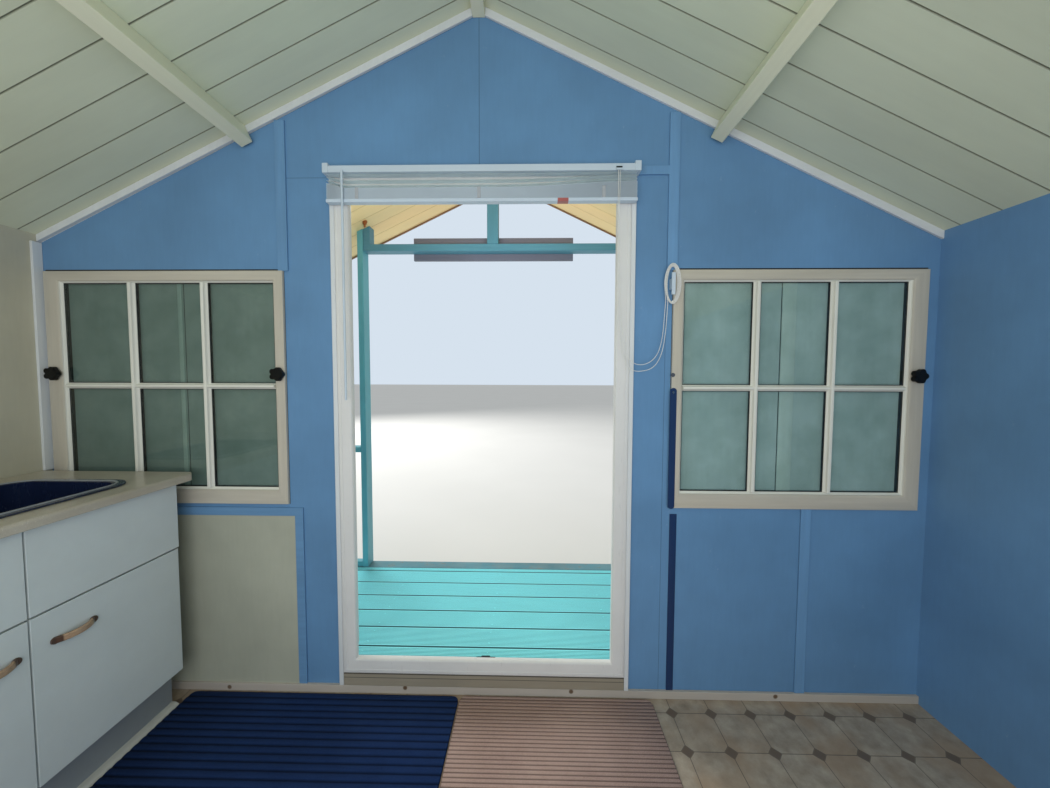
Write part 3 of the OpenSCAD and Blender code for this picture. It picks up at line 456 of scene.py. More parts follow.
def paint(name, tint, depth=0.1, wear=0.0, under=(150, 140, 120), fine=60.0, streak=0.06,
          roughness=0.5, dust=0.0, level=0.2, source="UV", boards=None, outside=None, spots=(),
          lines=(), lineTint=(54, 50, 46), grooveShade=None):
    # painted timber: cloudy coats, brush and grain lines, chips down to the wood, dust low down
    nodes = Surface(name)
    marks, place = nodes.grain(source, fine), nodes.coords()
    share = nodes.ramp(marks["Patches"], 0.3, 0.7)
    tone = coats(nodes, share, tint, depth)
    parts = nodes.split(place)
    joint = 0.7
    if outside:  # the same boards carry another paint in front of the front wall
        front = nodes.math("LESS_THAN", parts["Y"], float(outY))
        tone = nodes.mix(front, tone, coats(nodes, share, outside, depth))
        joint = nodes.math("SUBTRACT", joint, nodes.times(front, 0.4))
    tone = nodes.shade(tone, nodes.ramp(marks["Streaks"], 0.35, 0.65, 1 - streak, 1 + streak / 2))
    if boards:  # each board a little lighter or darker than the next, with a dark joint between
        across = nodes.math("SUBTRACT", nodes.split(nodes.coords(source))["Y"], boards["first"])
        number = nodes.math("FLOOR", nodes.math("DIVIDE", across, boards["width"]))
        chance = nodes.add("ShaderNodeTexWhiteNoise", {"W": number}, noise_dimensions="1D")
        tone = nodes.shade(tone, nodes.ramp(chance.outputs["Value"], 0, 1, 0.96, 1.02))
        near = nodes.ramp(nodes.math("PINGPONG", across, boards["width"] / 2), 0.0016, 0.0032, 1, 0)
        tone = nodes.mix(nodes.times(near, joint), tone, (78, 82, 70))
    if grooveShade:  # below a level, in grooves and gaps, the paint is darker: painted shade
        deep = nodes.times(nodes.math("LESS_THAN", parts["Z"], grooveShade[0]), grooveShade[1])
        tone = nodes.mix(deep, tone, coats(nodes, share, np.array(tint) * 0.5, depth))
    if dust:
        group = nodes.add("ShaderNodeGroup", {"Vector": place, "Level": level},
                          node_tree=dustGroup)
        tone = nodes.mix(nodes.times(group.outputs["Dust"], dust), tone, (176, 168, 150))
    height = marks["Streaks"]
    if wear:
        worn = nodes.ramp(marks["Chips"], 0.72 - 0.1 * wear, 0.76 - 0.1 * wear)
        tone = nodes.mix(worn, tone, under)
        height = nodes.math("SUBTRACT", height, nodes.times(worn, 0.8))
    for centre, radius, stain in spots:
        away = nodes.add("ShaderNodeVectorMath", {0: place, 1: centre}, operation="DISTANCE")
        tone = nodes.mix(nodes.ramp(away.outputs["Value"], radius * 0.6, radius, 1, 0), tone, stain)
    for axis, middle, half in lines:
        line = nodes.ramp(nodes.away(parts[axis], middle), half * 0.6, half, 0.8, 0)
        tone = nodes.mix(line, tone, lineTint)
    gloss = nodes.ramp(marks["Patches"], 0.25, 0.75, roughness - 0.08, roughness + 0.1)
    return nodes.finish(tone, height, 0.35, 0.0008, gloss)


def bareTimber(name, pale, dark, source="UV", fine=40.0, dust=0.0):
    # sawn or planed timber: growth lines bent by noise, knots, and grey weathering in patches
    nodes = Surface(name, 0.75)
    marks, place = nodes.grain(source, fine), nodes.coords(source)
    lines, cells = (nodes.add("ShaderNodeMapping", {"Vector": place, "Scale": scale}).outputs[0]
                    for scale in ((0.6, 9, 9), (0.5, 1, 1)))
    wave = nodes.add("ShaderNodeTexWave", {"Vector": lines, "Scale": 1.6, "Distortion": 5.0,
                                           "Detail": 3.0,
                                           "Phase Offset": nodes.times(marks["Patches"], 1.6)},
                     bands_direction="Y").outputs["Fac"]
    tone = nodes.mix(nodes.ramp(wave, 0.1, 0.95), pale, dark)
    tone = nodes.mix(nodes.ramp(marks["Streaks"], 0.45, 0.7, 0, 0.6), tone, dark)
    near = nodes.add("ShaderNodeTexVoronoi", {"Vector": cells, "Scale": 3.2}).outputs["Distance"]
    tone = nodes.mix(nodes.ramp(near, 0.03, 0.075, 0.6, 0), tone, colour(*(np.array(dark) * 0.55)))
    if dust:
        tone = nodes.mix(nodes.ramp(marks["Patches"], 0.4, 0.75, 0, dust), tone, (165, 162, 155))
    return nodes.finish(tone, marks["Streaks"], 0.5, 0.001)


print("material groups made")

# Lift cords: the points of part.scad in millimetres, from the underside of the cord lock, then
# turns round the cleat
cord = {"diameter": 0.0024, "turns": 2.75, "halfWide": (0.033, 0.0303),
        "halfTall": (0.0788, 0.0761), "inward": (0.0045, 0.004), "front": 0.0228,
        "layer": 0.00262, "knot": ((-0.003, 0.0005), (-0.0028, 0.0016), (-0.0012, 0.0024),
                                   (0.0012, 0.0024), (0.0028, 0.0016), (0.003, 0.0005))}
routeA = [[-3, 47, 0], [-3, 47, -45], [-3, 47, -165], [-5, 47, -295], [-9, 46, -415],
          [-15, 44, -525], [-22, 41, -595], [-32, 38, -655], [-44, 36, -690], [-59, 34, -710],
          [-77, 32, -721], [-99, 30, -724], [-123, 29, -718], [-144, 28, -704], [-161, 27, -681],
          [-173, 26, -647], [-181, 25, -599], [-186, 24, -535], [-190, 23, -475]]
routeB = [[3, 47, 0], [3, 47, -45], [3, 47, -165], [1, 47, -295], [-1, 46, -415],
          [-5, 44, -530], [-12, 41, -610], [-22, 38, -675], [-35, 36, -715], [-53, 34, -738],
          [-75, 32, -748], [-103, 30, -748], [-131, 29, -741], [-153, 28, -725], [-170, 27, -697],
          [-182, 26, -659], [-190, 25, -605], [-195, 24, -540], [-198, 23, -485]]
lockPlace = np.array([box("lift_cord_b")[1, 0] - 0.0042, inY, box("lift_cord_a")[1, 2]])
cleatPlace = (box("cord_cleat")[0] + box("cord_cleat")[1]) / 2


def splineThrough(path, steps):
    # Catmull-Rom: 0.5 * (2b + (c - a) t + (2a - 5b + 4c - d) t^2 + (3b - a - 3c + d) t^3)
    padded = np.concatenate([path[:1], path, path[-1:]])
    a, b, c, d = padded[:-3, None], padded[1:-2, None], padded[2:-1, None], padded[3:, None]
    t = (np.arange(steps) / steps)[None, :, None]
    curve = 0.5 * (2 * b + (c - a) * t + (2 * a - 5 * b + 4 * c - d) * t ** 2
                   + (3 * b - a - 3 * c + d) * t ** 3)
    return np.concatenate([curve.reshape(-1, 3), path[-1:]])


def cordPath(route, which):
    # the route, then an oval: cleat + (wide cos t, forward, tall sin t), one layer deeper and a
    # little narrower and shorter a turn
    t = np.arange(0, cord["turns"] * 2 * np.pi, 0.2)
    turn = t / (2 * np.pi)
    wide = cord["halfWide"][which] - cord["inward"][0] * turn
    tall = cord["halfTall"][which] - cord["inward"][1] * turn
    oval = points(cleatPlace[0] + wide * np.cos(t), inY + (cord["front"] - cord["layer"] * turn),
                  cleatPlace[2] + tall * np.sin(t))
    hang = splineThrough(lockPlace + np.array(route) / 1000, 4)
    return np.concatenate([hang[:-1], splineThrough(np.stack([hang[-1], oval[0]]), 3)[:-1], oval])


def makeCords():
    for which, (route, hidden) in enumerate(((routeA, ["lift_cord_a"]),
                                             (routeB, ["lift_cord_b", "cord_winding"]))):
        letter = "AB"[which]
        path = cordPath(route, which)
        piece = makePiece("liftCord" + letter, [tube(path, cord["diameter"] / 2, 8)], "cordBraid",
                          60, hidden)
        ahead = (path[-1] - path[-2]) / np.linalg.norm(path[-1] - path[-2])
        end = makePiece("cordKnot" + letter, [turned(cord["knot"], path[-1], ahead, 12)],
                        "cordBraid", 60)


# Finishes
def cordFinish():
    # braided cord: two crossing sets of bands along and round the cord
    nodes = Surface("cordBraid", 0.8)
    parts = nodes.split(nodes.coords("UV"))
    along, turn = nodes.times(parts["X"], 2600.0), nodes.times(parts["Y"], 2 * math.pi * 3)
    bands = [nodes.math("SINE", nodes.math(way, along, turn)) for way in ("ADD", "SUBTRACT")]
    braid = nodes.ramp(nodes.times(*bands), -1, 1)
    return nodes.finish(nodes.mix(braid, (198, 198, 194), (244, 244, 240)), braid, 0.6, 0.0003)


def wallFinish(name, tint, seams=()):
    # painted sheet lining: roller texture, cloudy coats, scuffs and straight joints between sheets
    nodes = Surface(name, 0.55)
    place = nodes.coords()
    parts = nodes.split(place)
    clouds = nodes.noise(place, 2.2, 4, 0.6)
    tone = nodes.mix(nodes.ramp(clouds, 0.3, 0.7), colour(*tint, 0.86), colour(*tint, 1.08))
    brush = nodes.noise(place, 90, 4, 0.6, (1, 1, 0.12))
    tone = nodes.shade(tone, nodes.ramp(brush, 0.3, 0.7, 0.975, 1.015))
    scuffs = nodes.noise(place, 26, 6, 0.75, (1, 1, 0.5))
    tone = nodes.mix(nodes.ramp(scuffs, 0.66, 0.74, 0, 0.22), tone, (196, 205, 212))
    height = nodes.ramp(nodes.noise(place, 520, 2, 0.5), 0.2, 0.8)
    for axis, middle, width, start, stop in seams:
        line = nodes.ramp(nodes.away(parts[axis], middle), width * 0.5, width, 1, 0)
        other = parts["Z" if axis == "X" else "X"]
        line = nodes.times(line, nodes.math("GREATER_THAN", other, start))
        line = nodes.times(line, nodes.math("LESS_THAN", other, stop))
        tone = nodes.mix(nodes.times(line, 0.75), tone, colour(*tint, 0.35))
        height = nodes.math("SUBTRACT", height, nodes.times(line, 2.0))
    return nodes.finish(tone, height, 0.25, 0.0006, nodes.ramp(clouds, 0.3, 0.7, 0.45, 0.62))


def plastic(name, tint, roughness=0.35, coat=0.0, stain=None, through=None):
    # moulded plastic: a very fine grain and slight handling marks in the gloss
    nodes = Surface(name, roughness, coat=coat)
    place = nodes.coords()
    marks = nodes.noise(place, 6, 5, 0.65)
    tone = nodes.mix(nodes.ramp(marks, 0.3, 0.75), colour(*tint, 0.93), tint)
    if stain:  # a mark with straight ends: middle and half width along X, and its colour
        away = nodes.away(nodes.split(place)["X"], stain[0])
        tone = nodes.mix(nodes.ramp(away, stain[1] - 0.002, stain[1], 0.9, 0), tone, stain[2])
    if through:  # thin, and lets most of the daylight through
        nodes.blend(0.7, nodes.add("ShaderNodeBsdfTranslucent", {"Color": colour(*through)}))
    wipe = nodes.noise(place, 14, 5, 0.7, (3, 3, 0.6))
    gloss = nodes.ramp(wipe, 0.3, 0.75, roughness - 0.06, roughness + 0.12)
    return nodes.finish(tone, nodes.noise(place, 900, 2, 0.5), 0.08, 0.0003, gloss)


def metal(name, tint, roughness):
    # brushed or cast metal
    nodes = Surface(name, roughness, 1.0)
    brushed = nodes.noise(nodes.coords(), 3, 3, 0.6, (8, 8, 400))
    tone = nodes.mix(nodes.ramp(brushed, 0.3, 0.7), colour(*tint, 0.85), tint)
    gloss = nodes.ramp(brushed, 0.2, 0.8, roughness - 0.08, roughness + 0.1)
    return nodes.finish(tone, brushed, 0.1, 0.0002, gloss)


def glassFinish():
    # float glass with a faint film of salt, in clouds
    nodes = Surface("windowGlass", 0.02)
    nodes.set(("Transmission Weight", 1.0), ("IOR", 1.45))
    film = nodes.noise(nodes.coords(), 7, 5, 0.6)
    tone = nodes.mix(nodes.ramp(film, 0.35, 0.8), (238, 244, 240), (206, 218, 212))
    shadow = nodes.add("ShaderNodeLightPath").outputs["Is Shadow Ray"]
    nodes.blend(shadow, nodes.add("ShaderNodeBsdfTransparent", {"Color": colour(236, 242, 238)}))
    return nodes.finish(tone, gloss=nodes.ramp(film, 0.4, 0.8, 0.01, 0.09))


def feltFinish():
    # mineral felt: coloured grit, pale runs down the slope and patches of moss
    nodes = Surface("mineralFelt", 0.9)
    place = nodes.coords()
    grit = nodes.add("ShaderNodeTexVoronoi", {"Vector": place, "Scale": 420.0}).outputs["Color"]
    shade = nodes.add("ShaderNodeSeparateColor", {0: grit}).outputs[0]
    tone = nodes.mix(shade, (62, 74, 68), (112, 122, 112))
    runs = nodes.noise(place, 2.5, 5, 0.65, (0.6, 5, 0.6))
    tone = nodes.mix(nodes.ramp(runs, 0.45, 0.75, 0, 0.45), tone, (128, 132, 118))
    moss = nodes.ramp(nodes.noise(place, 5, 6, 0.7), 0.62, 0.72, 0, 0.5)
    return nodes.finish(nodes.mix(moss, tone, (72, 84, 48)), shade, 0.7, 0.0012)


vinyl = {"tile": 0.152, "corner": {"X": -0.76, "Y": -0.358}, "diamond": 0.0215, "edge": 0.0235}


def vinylFinish():
    # printed vinyl: octagonal pale stones with a small diamond where four of them meet
    nodes = Surface("stoneVinyl")
    place = nodes.coords()
    parts = nodes.split(place)
    tile, edge = vinyl["tile"], vinyl["edge"]
    offs = [nodes.math("PINGPONG", nodes.math("ADD", parts[axis], 60 * tile - corner), tile / 2)
            for axis, corner in vinyl["corner"].items()]
    summed = nodes.math("ADD", *offs)
    diamond = nodes.ramp(summed, vinyl["diamond"], vinyl["diamond"] + 0.001, 1, 0)
    rim = nodes.ramp(nodes.away(summed, edge), 0.0008, 0.0018, 1, 0)
    line = nodes.ramp(nodes.math("MINIMUM", *offs), 0.0008, 0.002, 1, 0)
    line = nodes.times(line, nodes.math("GREATER_THAN", summed, edge))
    joint = nodes.math("MAXIMUM", rim, line)
    stone = nodes.noise(place, 16, 7, 0.68)
    tone = nodes.mix(nodes.ramp(stone, 0.3, 0.7), (138, 124, 108), (182, 168, 150))
    warm = nodes.noise(place, 5, 3, 0.5)
    tone = nodes.mix(nodes.ramp(warm, 0.45, 0.62, 0, 0.6), tone, (160, 134, 108))
    tone = nodes.mix(diamond, tone, (108, 92, 78))
    tone = nodes.mix(nodes.times(joint, 0.8), tone, (86, 76, 66))
    return nodes.finish(tone, nodes.math("SUBTRACT", stone, joint), 0.2, 0.0006)


mats = {"navy": {"pitch": 0.028, "deep": 0.0032, "tint": (12, 26, 58), "fleck": (36, 60, 106)},
        "brown": {"pitch": 0.015, "deep": 0.002, "tint": (124, 98, 92),
                  "fleck": (186, 162, 152)}}
matShape = {"corner": 0.03, "edge": 0.003, "gap": (0.081, 0.085)}
(_, matY0, matZ0), (_, matY1, matZ1) = box("floor_mats")


def matFinish(name):
    # ribbed needle-felt matting: short fibres, flecks, a worn, paler path, and painted shade in the
    # grooves
    nodes = Surface(name + "Mat", 0.95, specular=0.2)
    place, own = nodes.coords(), mats[name]
    fibres = nodes.noise(place, 420, 4, 0.7, (1, 2.5, 1))
    tone = nodes.mix(nodes.ramp(fibres, 0.3, 0.72), own["tint"], own["fleck"])
    worn = nodes.ramp(nodes.noise(place, 3.5, 5, 0.6), 0.45, 0.75, 0, 0.3)
    tone = nodes.mix(worn, tone, colour(*(np.array(own["fleck"]) * 1.1)))
    # painted shade: darker with depth below the rib tops, a little lighter on the tops
    ribGrooveShade = nodes.ramp(nodes.split(place)["Z"], matZ1 - own["deep"] * 0.9,
                         matZ1 - own["deep"] * 0.25, 0.4, 1.06)
    return nodes.finish(nodes.shade(tone, ribGrooveShade), fibres, 0.8, 0.0015)


def laminateFinish():
    # speckled laminate: three sizes of fleck over a warm pale ground
    nodes = Surface("worktopLaminate", 0.32, coat=0.2)
    place = nodes.coords()
    tone = nodes.mix(nodes.ramp(nodes.noise(place, 4, 4, 0.6), 0.3, 0.7), (178, 168, 152),
                     (198, 190, 174))
    for size, start, tint in ((700, 0.66, (132, 116, 98)), (420, 0.67, (226, 220, 206)),
                              (950, 0.68, (92, 84, 76))):
        fleck = nodes.ramp(nodes.noise(place, size, 2, 0.5), start, start + 0.03)
        tone = nodes.mix(fleck, tone, tint)
    return nodes.finish(tone, nodes.noise(place, 500, 2, 0.5), 0.06, 0.0003)


def handleFinish():
    # tan moulded bow with darker brown ends, by distance from each handle's middle along Y
    nodes = Surface("handleTan", 0.4)
    place = nodes.coords()
    y = nodes.split(place)["Y"]
    away = [nodes.away(y, box(node)[:, 1].sum() / 2)
            for node in ("far_door_handle", "near_door_handle")]
    ends = nodes.ramp(nodes.math("MINIMUM", *away), 0.036, 0.039)
    streaks = nodes.noise(place, 5, 4, 0.6, (60, 2, 60))
    tan = nodes.mix(nodes.ramp(streaks, 0.3, 0.7), (156, 128, 102), (184, 156, 128))
    return nodes.finish(nodes.mix(ends, tan, (84, 62, 50)), streaks, 0.1, 0.0003)


# Roof boards run up the slope; the photograph gives one joint's place and the cover width
roofBoards = {"width": 0.123, "first": inY + 0.062, "gap": 0.0045, "deep": 0.005}
wallSeams = [("X", 0.0, 0.0016, doorHead, 9.0),
             ("Z", floorZ + 2.089, 0.0014, box("door_frame")[1, 0], 0.76),
             ("X", -0.73, 0.0012, 0.0, floorZ + 1.72)]
footKnots = [((x, inY + 0.012, floorZ + z), 0.011, (104, 84, 66))
             for x, z in ((0.312, 0.026), (-0.373, 0.024), (1.05, 0.015), (-1.2, 0.02))]
# a dark band along each joint between deck boards, wider than the gap: painted shade of the gap and
# its rounded edges
deckGapShade = [("Y", (a[1] + b[0]) / 2, 0.0075) for a, b in zip(deckSpans, deckSpans[1:])]
finishes = {material.name: material for material in (
    cordFinish(), glassFinish(), feltFinish(), vinylFinish(), laminateFinish(), handleFinish(),
    matFinish("navy"), matFinish("brown"),
    wallFinish("blueWall", (100, 142, 182), wallSeams),
    wallFinish("blueSide", (104, 146, 188)),
    wallFinish("creamSide", (196, 192, 172)),
    wallFinish("bareBoard", (172, 174, 158)),
    bareTimber("treated", (134, 122, 92), (96, 84, 60), fine=30, dust=0.4),
    bareTimber("floorPine", (190, 160, 118), (150, 118, 78), source="Object"),
    metal("keepSteel", (74, 76, 80), 0.5),
    metal("steel", (190, 192, 194), 0.3),
    plastic("frameWhite", (222, 222, 220), 0.3),
    plastic("knob", (5, 5, 7), 0.6),
    plastic("darkGasketAndShade", (40, 42, 44), 0.6),
    plastic("latch", (28, 52, 92), 0.45),
    # dark grey-blue for the bolt hole's disc: painted shade inside the hole
    plastic("hole", (84, 88, 98), 0.5),
    plastic("blind", (196, 210, 222), 0.38),
    plastic("rail", (198, 212, 226), 0.38, stain=(-0.322, 0.0215, (168, 66, 50))),
    plastic("slatPaint", (244, 250, 252), 0.34, through=(246, 252, 254)),
    # a greyer copy of the white slat colour: painted shade on the drawn-up stack
    plastic("slatStackShaded", (200, 214, 226), 0.4),
    plastic("tape", (170, 174, 180), 0.6),
    plastic("unitWhite", (214, 222, 222), 0.4),
    plastic("unitGrey", (150, 156, 160), 0.5),
    # pale grey for the sink's raised lip: a painted highlight on the navy rim
    plastic("sinkLipHighlight", (146, 150, 154), 0.3),
    plastic("sinkNavy", (24, 34, 62), 0.22, coat=0.4),
    paint("blueTimber", (104, 146, 186), 0.1, 0.15, (206, 214, 218)),
    paint("outsideBlue", (150, 188, 216), 0.1, 0.35, (176, 168, 150), dust=0.35, level=0.15,
          roughness=0.55),
    paint("roofWhite", (216, 220, 194), 0.05, 0.05, (196, 192, 166), 46, 0.015,
          boards=roofBoards, outside=(250, 218, 160)),
    paint("purlinCream", (232, 230, 202), 0.04, 0.05, (196, 190, 164), streak=0.02),
    paint("trimWhite", (212, 216, 218), 0.05, 0.1, (176, 170, 156), streak=0.03),
    # turquoise darkened part way towards its look in shade: its own colour with some painted shade
    paint("turquoise", (98, 168, 180), 0.12, 0.35, (150, 140, 118), dust=0.2, level=0.15,
          roughness=0.45),
    # deck paint with painted shade below the board tops, in the reed grooves and the gaps
    paint("deckPaint", (146, 244, 252), 0.03, 0.1, (150, 176, 172), streak=0.02,
          grooveShade=(deckZ - 0.0009, 0.6), lines=deckGapShade, lineTint=(26, 84, 96)),
    # a darker copy of the turquoise paint: painted shade on the backlit tie beam and king post
    paint("turquoiseInShade", (86, 142, 162), 0.08, 0.3, (140, 132, 112)),
    paint("edgePaint", (88, 138, 150), 0.2, 1.3, (128, 122, 110), dust=0.3, level=0.05,
          roughness=0.65),
    paint("brownTrim", (140, 102, 74), 0.15, 0.4, (110, 92, 74)),
    paint("nameBoard", (114, 114, 126), 0.07, 0.5, (116, 108, 112), 34, 0.05, 0.7),
    paint("sillBoard", (150, 142, 126), 0.08, 0.3, (170, 160, 140), roughness=0.6,
          lines=(("Z", floorZ + 0.0675, 0.0016), ("Z", floorZ + 0.0845, 0.003))),
    paint("footPine", (182, 174, 164), 0.08, 0.2, (180, 160, 136), 36, roughness=0.6,
          spots=footKnots),
    paint("rust", (160, 92, 46), 0.35, 0.8, (72, 44, 30), roughness=0.8, source="Object"),
    paint("creamFrame", (190, 184, 170), 0.07, 0.2, (170, 160, 142), roughness=0.42),
    # a lighter copy of the frame's cream paint for the bead and bars: painted highlight
    paint("bead", (222, 222, 212), 0.04, 0.1, (178, 170, 150), roughness=0.42),
    paint("paleStrip", (198, 198, 190), 0.06, 0.2),
    paint("shutterInside", (136, 152, 150), 0.06, 0.05, (150, 146, 132), streak=0.03),
    # paler copies of the shutter lining and cover strip: a painted reflection on the -X window's
    # glass
    paint("shutterInsideReflection", (190, 210, 214), 0.08, 0.05, (170, 166, 150), streak=0.03),
    paint("coverStripReflection", (204, 222, 222), 0.05, 0.05, (180, 176, 160), streak=0.03),
    paint("coverStrip", (160, 178, 174), 0.05, 0.05, (150, 146, 132), streak=0.03))}
print(len(finishes), "finishes made")

makeCords()


# Roof
def makeRoofBoards(side, node):
    # underside: flat boards with a narrow groove at each joint, carried up the slope
    (_, y0, _), (_, y1, top) = box(node)
    first, width, deep = (roofBoards[key] for key in ("first", "width", "deep"))
    joints = np.arange(first - math.floor((first - y0) / width) * width, y1 - 0.01, width)
    half, thick = roofBoards["gap"] / 2, top - ridgeZ
    ys = np.concatenate([[y0], (joints[:, None] + [-half, -half * 0.5, half * 0.5, half]).ravel(),
                         [y1, y1, y0]])
    lifts = np.concatenate([[0], np.tile([0, deep, deep, 0], len(joints)), [0, thick, thick]])
    rings = np.stack([points(side * x, ys, soffit(x) + lifts) for x in (0.0, eaveX)])
    part = carry(rings, np.array([0, eaveX / slopeCos]) + side, np.concatenate([ys, ys[:1]]))
    makePiece(node + ".boards", [part], "roofWhite", 0, [node])


felt = {"sheet": 0.76, "lap": 0.075, "thick": 0.0026, "cap": 0.15, "wave": 0.0003}


def makeFelt():
    # height over the boards steps up one sheet's thickness at each lap
    (_, y0, _), (edge, y1, _) = box("roof_felt")
    base = boardTop - ridgeZ
    parts = []
    for side in (-1, 1):
        for k, start in enumerate(np.arange(edge, 0.3, -felt["sheet"] * slopeCos)):
            stop = max(start - (felt["sheet"] + felt["lap"]) * slopeCos, 0.0)
            x = np.linspace(start, stop, 14)
            rise = np.where(x > start - felt["lap"] * slopeCos, felt["thick"] if k else 0.0, 0.0)
            parts.append(feltSheet(side, x, soffit(x) + base + rise, y0, y1, k))
    x = np.linspace(felt["cap"], -felt["cap"], 9)
    parts.append(feltSheet(1, x, soffit(x) + base + felt["thick"], y0, y1, 9))
    makePiece("feltSheets", parts, "mineralFelt", 30, ["roof_felt"])


def feltSheet(side, x, z, y0, y1, number):
    # one sheet: slightly wavy along its length, with its thickness straight up
    y = np.linspace(y0, y1, 40)
    wave = felt["wave"] * np.sin(y * 9 + number * 2)[:, None] * np.cos(x * 14)[None]
    top = points(side * x, y[:, None], z[None] + felt["thick"] - felt["wave"] + wave)
    under = top[:, ::-1] - [0, 0, felt["thick"] - 2 * felt["wave"]]
    rings = np.concatenate([top, under], 1)
    return carry(rings, y, np.arange(rings.shape[1] + 1) * 0.05)


def makeNails(name, spots, axis, radius, finish):
    # domed heads on a short rise
    line = np.array([(-0.0004, 0.1), (-0.0004, 1), (0.0004, 0.92), (0.0009, 0.5), (0.001, 0.05)])
    makePiece(name, [turned(line * [1, radius], place, axis, 8) for place in spots], finish,
              60)


makeRoofBoards(-1, "roof_boards_left")
makeRoofBoards(1, "roof_boards_right")
makeFelt()
softened("ridge_board", "purlinCream", 0.002)
softened("purlins", "purlinCream", 0.003)
softened("eaves_fascias", "turquoise", 0.003)
softened("verge_trims", "brownTrim", 0.002)

# A rusty bolt with its washer and nut, and two nail heads, under the veranda's roof
rusty = {"bolt": (0.874, 0.952), "nails": ((0.84, 0.74), (0.74, 0.78)), "nailRadius": 0.005,
         "line": ((-0.006, 0.0165), (0.003, 0.0165), (0.0035, 0.0125), (0.015, 0.0125),
                  (0.016, 0.011), (0.0165, 0.006), (0.033, 0.006), (0.0345, 0.004))}
boltPlace, *nailPlaces = ((x, inY - y, soffit(x)) for x, y in (rusty["bolt"], *rusty["nails"]))
makePiece("soffitBolt", [turned(rusty["line"], boltPlace, (0, 0, -1), 24)], "rust",
          30)
makeNails("soffitNails", nailPlaces, (0, 0, -1), rusty["nailRadius"], "rust")
print("roof done")

# Outside boards: shiplap courses with a scooped top edge
cladding = {"cover": 0.112, "start": 0.085, "corner": 0.062, "cornerThick": 0.02,
            "trim": 0.045, "trimThick": 0.018, "tip": 0.02}
scoop = np.array([[0, 0], [0, 0.013], [0.001, 0.014], [0.082, 0.014], [0.09, 0.012],
                  [0.097, 0.0075], [0.103, 0.0052], [0.112, 0.005], [0.112, 0]])


def courses(a0, a1, z0, z1, place, sloped=False):
    # one strip a course: z clipped to the region, ends cut to the roof's slope where it is sloped
    parts = []
    first = math.floor((z0 - cladding["start"]) / cladding["cover"])
    last = math.ceil((z1 - cladding["start"]) / cladding["cover"])
    for k in range(first, last):
        z = np.clip(cladding["start"] + k * cladding["cover"] + scoop[:, 0], z0,
                    min(z1, ridgeZ - cladding["tip"]))
        limit = np.maximum((ridgeZ - z) / slope, 0) if sloped else math.inf
        left, right = np.maximum(a0, -limit), np.minimum(a1, limit)
        if np.ptp(z) < 0.004 or (right - left).max() < 0.01:
            continue
        right = np.maximum(right, left + 0.0005)
        rings = np.stack([place(end, scoop[:, 1], z) for end in (left, right)])
        parts.append(carry(rings, np.array([0, a1 - a0]) + k * 0.73, around(scoop) + k * 0.31))
    return parts


def makeCladding():
    def frontPlace(x, out, z):
        return points(x, outY - out, z)

    parts = []
    for wall, node in zip(((-halfOut, door0), (door1, halfOut)), frameNodes):
        (x0, _, z0), (x1, _, z1) = box(node)
        parts += courses(wall[0], x0, deckZ, ridgeZ, frontPlace, True)
        parts += courses(x1, wall[1], deckZ, ridgeZ, frontPlace, True)
        parts += courses(x0, x1, deckZ, z0, frontPlace)
        parts += courses(x0, x1, z1, ridgeZ, frontPlace, True)
    parts += courses(door0, door1, doorHead, ridgeZ, frontPlace, True)
    parts += courses(-halfOut, halfOut, cladding["start"], ridgeZ,
                     lambda x, out, z: points(x, rearY + out, z), True)
    for side in (-1, 1):
        parts += courses(outY, rearY, cladding["start"], soffit(halfOut),
                         lambda y, out, z: points(side * (halfOut + out), y, z))
    makePiece("outsideBoards", parts, "outsideBlue", 25)


def makeCornerBoards():
    start, thick = cladding["start"], cladding["cornerThick"]
    flat = roundedRect(0, cladding["corner"], 0, thick, 0.002, 2)
    top = soffit(halfOut + thick) - 0.002
    parts = []
    for side in (-1, 1):
        for y, way in ((outY, 1), (rearY, -1)):
            x = side * halfOut
            parts.append(bar((x, y, start), (x, y, top), flat, (0, way, 0), (side, 0, 0), y))
            x = side * (halfOut + thick)
            parts.append(bar((x, y, deckZ if way == 1 else start), (x, y, top), flat,
                             (-side, 0, 0), (0, -way, 0), y + 1))
    makePiece("cornerBoards", parts, "turquoise", 25)


def makeWindowTrims():
    # flat mitred boards round each window's opening, over the cladding
    wide, face = cladding["trim"], outY - cladding["trimThick"]
    profile = np.array([(0, outY), (0, face + 0.0015), (0.03, face), (0.97, face),
                        (1, face + 0.0015), (1, outY)])
    parts = []
    for node in frameNodes:
        (x0, _, z0), (x1, _, z1) = box(node)
        parts.append(mitred(x0 - wide, x1 + wide, z0 - wide, z1 + wide, profile, (wide,) * 4, x0))
    makePiece("windowTrims", parts, "turquoise", 30)


makeCladding()
makeCornerBoards()
makeWindowTrims()
print("outside boards done")

# Floor, deck and veranda
deck = {"reed": 0.0086, "reedWide": 0.0044, "reedDeep": 0.0019, "edge": 0.006, "soft": 0.0025,
        "nail": 0.0042, "nailed": 0.1}


